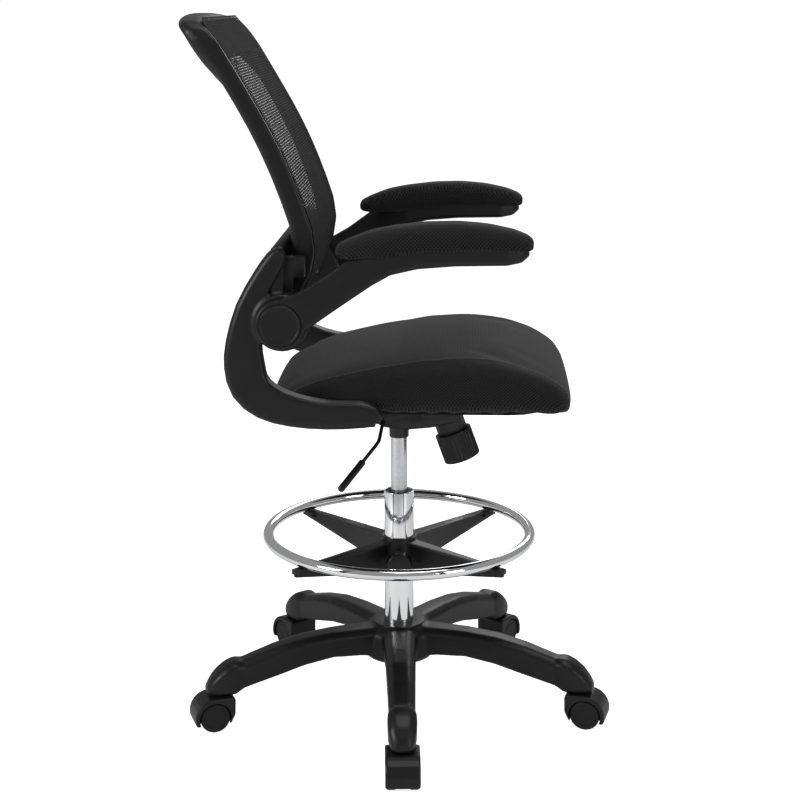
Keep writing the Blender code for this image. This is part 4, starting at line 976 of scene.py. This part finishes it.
class CHAIR_OT_back(bpy.types.Operator):
    """Makes the back's frame, its stretched net, the yoke and the brackets"""

    bl_idname = "chair.back"
    bl_label = "Back"

    def execute(self, context):
        shell = melted("back_frame", "back_frame_shell", 2 * MM, 16)
        settle(shell, "seat", nylon_smooth(), "back_frame", slot="nylon")
        yoke = crisp("back_yoke", "back_cross_bar", 1 * MM)
        settle(yoke, "seat", nylon_smooth(), "back_yoke", slot="nylon")
        for side in ("left", "right"):
            bracket = crisp(f"back_bracket_{side}", f"back_hinge_block_{side}", 1 * MM)
            settle(bracket, "seat", powder_coat(), f"back_bracket_{side}", slot="black_steel")
        self.net()
        return {"FINISHED"}

    def net(self):
        """A grid laid on the front of the back, from side bar to side bar and up over the
        top rail, then given the net's thickness."""
        low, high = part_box("back_frame")
        left, right = low.x + NET_SIDE, high.x - NET_SIDE
        bottom, top = low.z + NET_BOTTOM, high.z - NET_TOP
        columns, rows = NET_COLUMNS, NET_ROWS
        find = front_of_back()
        depth = []
        for j in range(rows + 1):
            z = bottom + (top - bottom) * j / rows
            line = []
            for i in range(columns + 1):
                line.append(find(left + (right - left) * i / columns, z))
            known = [y for y in line if y is not None]
            fill = sum(known) / len(known)
            depth.append([fill if y is None else y for y in line])
        for _ in range(NET_BRIDGES):
            depth = [
                [
                    min(
                        depth[j][i],
                        (
                            depth[max(j - 1, 0)][i] + depth[min(j + 1, rows)][i]
                            + depth[j][max(i - 1, 0)] + depth[j][min(i + 1, columns)]
                        )
                        / 4,
                    )
                    for i in range(columns + 1)
                ]
                for j in range(rows + 1)
            ]
        deselect()
        bpy.ops.mesh.primitive_grid_add(x_subdivisions=columns, y_subdivisions=rows, size=1)
        sheet = bpy.context.object
        sheet.name = "back_net"
        lengths = [0.0]
        mid = columns // 2
        for j in range(rows):
            step = (top - bottom) / rows
            lengths.append(lengths[-1] + math.hypot(step, depth[j + 1][mid] - depth[j][mid]))
        uv = sheet.data.uv_layers.new(name="net")
        flat = {}
        for vert in sheet.data.vertices:
            i = round((vert.co.x + 0.5) * columns)
            j = round((vert.co.y + 0.5) * rows)
            x = left + (right - left) * i / columns
            z = bottom + (top - bottom) * j / rows
            rise = max(0.0, NET_CORNER - min(top - z, z - bottom))
            pull = NET_CORNER - math.sqrt(max(0.0, NET_CORNER**2 - rise**2))
            centre = (left + right) / 2
            x = centre + (x - centre) * (1 - 2 * pull / (right - left))
            flat[vert.index] = (x - centre, lengths[j])
            vert.co = (x, depth[j][i] - NET_AHEAD, z)
        for loop in sheet.data.loops:
            uv.data[loop.index].uv = flat[loop.vertex_index]
        edit_whole(sheet)
        bpy.ops.mesh.normals_make_consistent(inside=False)
        bpy.ops.object.mode_set(mode="OBJECT")
        thick = sheet.modifiers.new("Thickness", "SOLIDIFY")
        thick.thickness = NET_THICK
        thick.offset = 0
        apply_all(sheet)
        shade_soft(sheet)
        settle(sheet, "seat", back_net(), "back_mesh", slot="mesh_fabric")


def fill_with_foam(piece, voxel, shrink, swell, keep_below, flow, skin_passes):
    """Remeshes a soft piece a little smaller, lets air pressure swell its cloth, and caps
    how far each point moves. Points below keep_below stay where they are."""
    even_out(piece, voxel, flow)
    out = [v.normal.copy() for v in piece.data.vertices]
    for vert, normal in zip(piece.data.vertices, out):
        upward = share(normal.z * 2 + 1)  # the underside stays where it is
        vert.co -= normal * (shrink * upward)
    rest = [v.co.copy() for v in piece.data.vertices]
    group = piece.vertex_groups.new(name="held")
    group.add([i for i, co in enumerate(rest) if co.z < keep_below], 1.0, "REPLACE")
    cloth = piece.modifiers.new("Cloth", "CLOTH")
    settings = cloth.settings
    settings.quality = 4
    settings.use_pressure = True
    settings.uniform_pressure_force = CLOTH_PRESSURE
    settings.effector_weights.gravity = 0
    settings.vertex_group_mass = "held"
    settings.tension_stiffness = settings.compression_stiffness = CLOTH_STIFFNESS
    settings.bending_stiffness = CLOTH_BENDING
    scene = bpy.context.scene
    for step in range(1, CLOTH_STEPS + 1):
        scene.frame_set(step)
    graph = bpy.context.evaluated_depsgraph_get()
    swollen = [v.co.copy() for v in piece.evaluated_get(graph).data.vertices]
    piece.modifiers.remove(cloth)
    scene.frame_set(1)
    for vert, start, end in zip(piece.data.vertices, rest, swollen):
        move = end - start
        if move.length > swell:
            move = move.normalized() * swell
        vert.co = start + move
    piece.vertex_groups.clear()
    skin = piece.modifiers.new("Skin", "SMOOTH")
    skin.iterations = skin_passes
    finer = piece.modifiers.new("Finer", "SUBSURF")
    finer.levels = finer.render_levels = 1
    apply_all(piece)
    shade_soft(piece)


class CHAIR_OT_seat(bpy.types.Operator):
    """Makes the seat cushion, with its top seam and its gathered hem"""

    bl_idname = "chair.seat"
    bl_label = "Seat"

    def execute(self, context):
        sizes = size_settings()
        seat = copy_of("seat_cushion", "seat_cushion_cloth")
        low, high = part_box("seat_cushion")
        base = low.z
        fill_with_foam(
            seat, sizes.seat_voxel, 3 * MM, sizes.seat_swell, base + 6 * MM, 8, 20
        )
        middle_x = (low.x + high.x) / 2
        middle_y = (low.y + high.y) / 2
        half_x = (high.x - low.x) / 2
        half_y = (high.y - low.y) / 2
        seat.data.update()
        out = [v.normal.copy() for v in seat.data.vertices]
        values = []
        for vert, normal in zip(seat.data.vertices, out):
            co = vert.co
            rise = max(0.0, co.z - base)
            aside = abs(co.x - middle_x) / half_x
            ahead = (middle_y - co.y) / half_y
            panel = (1 - aside) * half_x / (2 * sizes.seam_inset)
            values.append(share(panel))
            seam = math.exp(-(((panel - SEAM) * 2 * sizes.seam_inset / SEAM_WIDTH) ** 2))
            if rise > 25 * MM and normal.z > 0.3:
                co += normal * (SEAM_RIDGE * seam)
            nose = share((ahead - NOSE_START) / (1 - NOSE_START))
            co.y -= NOSE_AHEAD * nose * math.sin(math.pi * min(1.0, rise / NOSE_HEIGHT))
            co.z -= NOSE_DROP * nose * max(0.0, 1 - rise / NOSE_HEIGHT)
            tuck = share(1 - rise / TUCK_HEIGHT)
            inward = TUCK_DEPTH * (1 - math.sqrt(1 - tuck**2))
            co.x = middle_x + (co.x - middle_x) * (1 - inward / half_x)
            co.y = middle_y + (co.y - middle_y) * (1 - inward / half_y)
            under = max(0.0, 1 - rise / HEM_HEIGHT)
            edge = share((max(aside, abs(ahead)) - 0.80) / 0.08)
            turn = math.atan2(ahead, aside if co.x > middle_x else -aside)
            wave = math.sin(46 * turn) + 0.5 * math.sin(31 * turn + 1.3)
            co.z -= under * edge * (3.4 + 1.3 * wave) * MM
            vert.co = co
        layer = seat.data.attributes.new(PANEL, "FLOAT", "POINT")
        layer.data.foreach_set("value", values)
        settle(seat, "seat", spacer_cloth("spacer_cloth_seat", True), "seat_cushion",
               slot="seat_fabric")
        return {"FINISHED"}


class CHAIR_OT_pads(bpy.types.Operator):
    """Makes the two padded armrest tops"""

    bl_idname = "chair.pads"
    bl_label = "Armrest pads"

    def execute(self, context):
        sizes = size_settings()
        for side in ("left", "right"):
            node = f"armrest_pad_{side}"
            pad = copy_of(node, f"{node}_cloth")
            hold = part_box(node)[0].z + 3 * MM
            fill_with_foam(pad, sizes.pad_voxel, 1.5 * MM, sizes.pad_swell, hold, 2, 2)
            out = [v.normal.z for v in pad.data.vertices]
            for vert, facing in zip(pad.data.vertices, out):
                vert.co.z -= sizes.pad_sink * share(-1.6 * facing)
            settle(pad, f"armrest_{side}", spacer_cloth("spacer_cloth_pad", False), node,
                   slot="mesh_fabric")
        return {"FINISHED"}


class CHAIR_PT_panel(bpy.types.Panel):
    """Lists the chair's pieces in the sidebar"""

    bl_idname = "CHAIR_PT_panel"
    bl_label = "Drafting chair"
    bl_space_type = "VIEW_3D"
    bl_region_type = "UI"
    bl_category = "Chair"

    def draw(self, context):
        for operator in OPERATORS:
            self.layout.operator(operator.bl_idname)
        for settings in (context.scene.chair_finish, context.scene.chair_sizes):
            box = self.layout.box()
            for name in settings.__annotations__:
                box.prop(settings, name)


OPERATORS = (
    CHAIR_OT_stage,
    CHAIR_OT_column,
    CHAIR_OT_foot_ring,
    CHAIR_OT_base,
    CHAIR_OT_casters,
    CHAIR_OT_mechanism,
    CHAIR_OT_arms,
    CHAIR_OT_back,
    CHAIR_OT_seat,
    CHAIR_OT_pads,
)
CLASSES = (ChairFinish, ChairSizes, *OPERATORS, CHAIR_PT_panel)


def register():
    for item in CLASSES:
        bpy.utils.register_class(item)
    bpy.types.Scene.chair_finish = bpy.props.PointerProperty(type=ChairFinish)
    bpy.types.Scene.chair_sizes = bpy.props.PointerProperty(type=ChairSizes)


def unregister():
    del bpy.types.Scene.chair_sizes
    del bpy.types.Scene.chair_finish
    for item in reversed(CLASSES):
        bpy.utils.unregister_class(item)


def main():
    register()
    bpy.ops.chair.stage()
    bpy.ops.chair.column()
    bpy.ops.chair.foot_ring()
    bpy.ops.chair.base()
    bpy.ops.chair.casters()
    bpy.ops.chair.mechanism()
    bpy.ops.chair.arms()
    bpy.ops.chair.back()
    bpy.ops.chair.seat()
    bpy.ops.chair.pads()


if __name__ == "__main__":
    main()
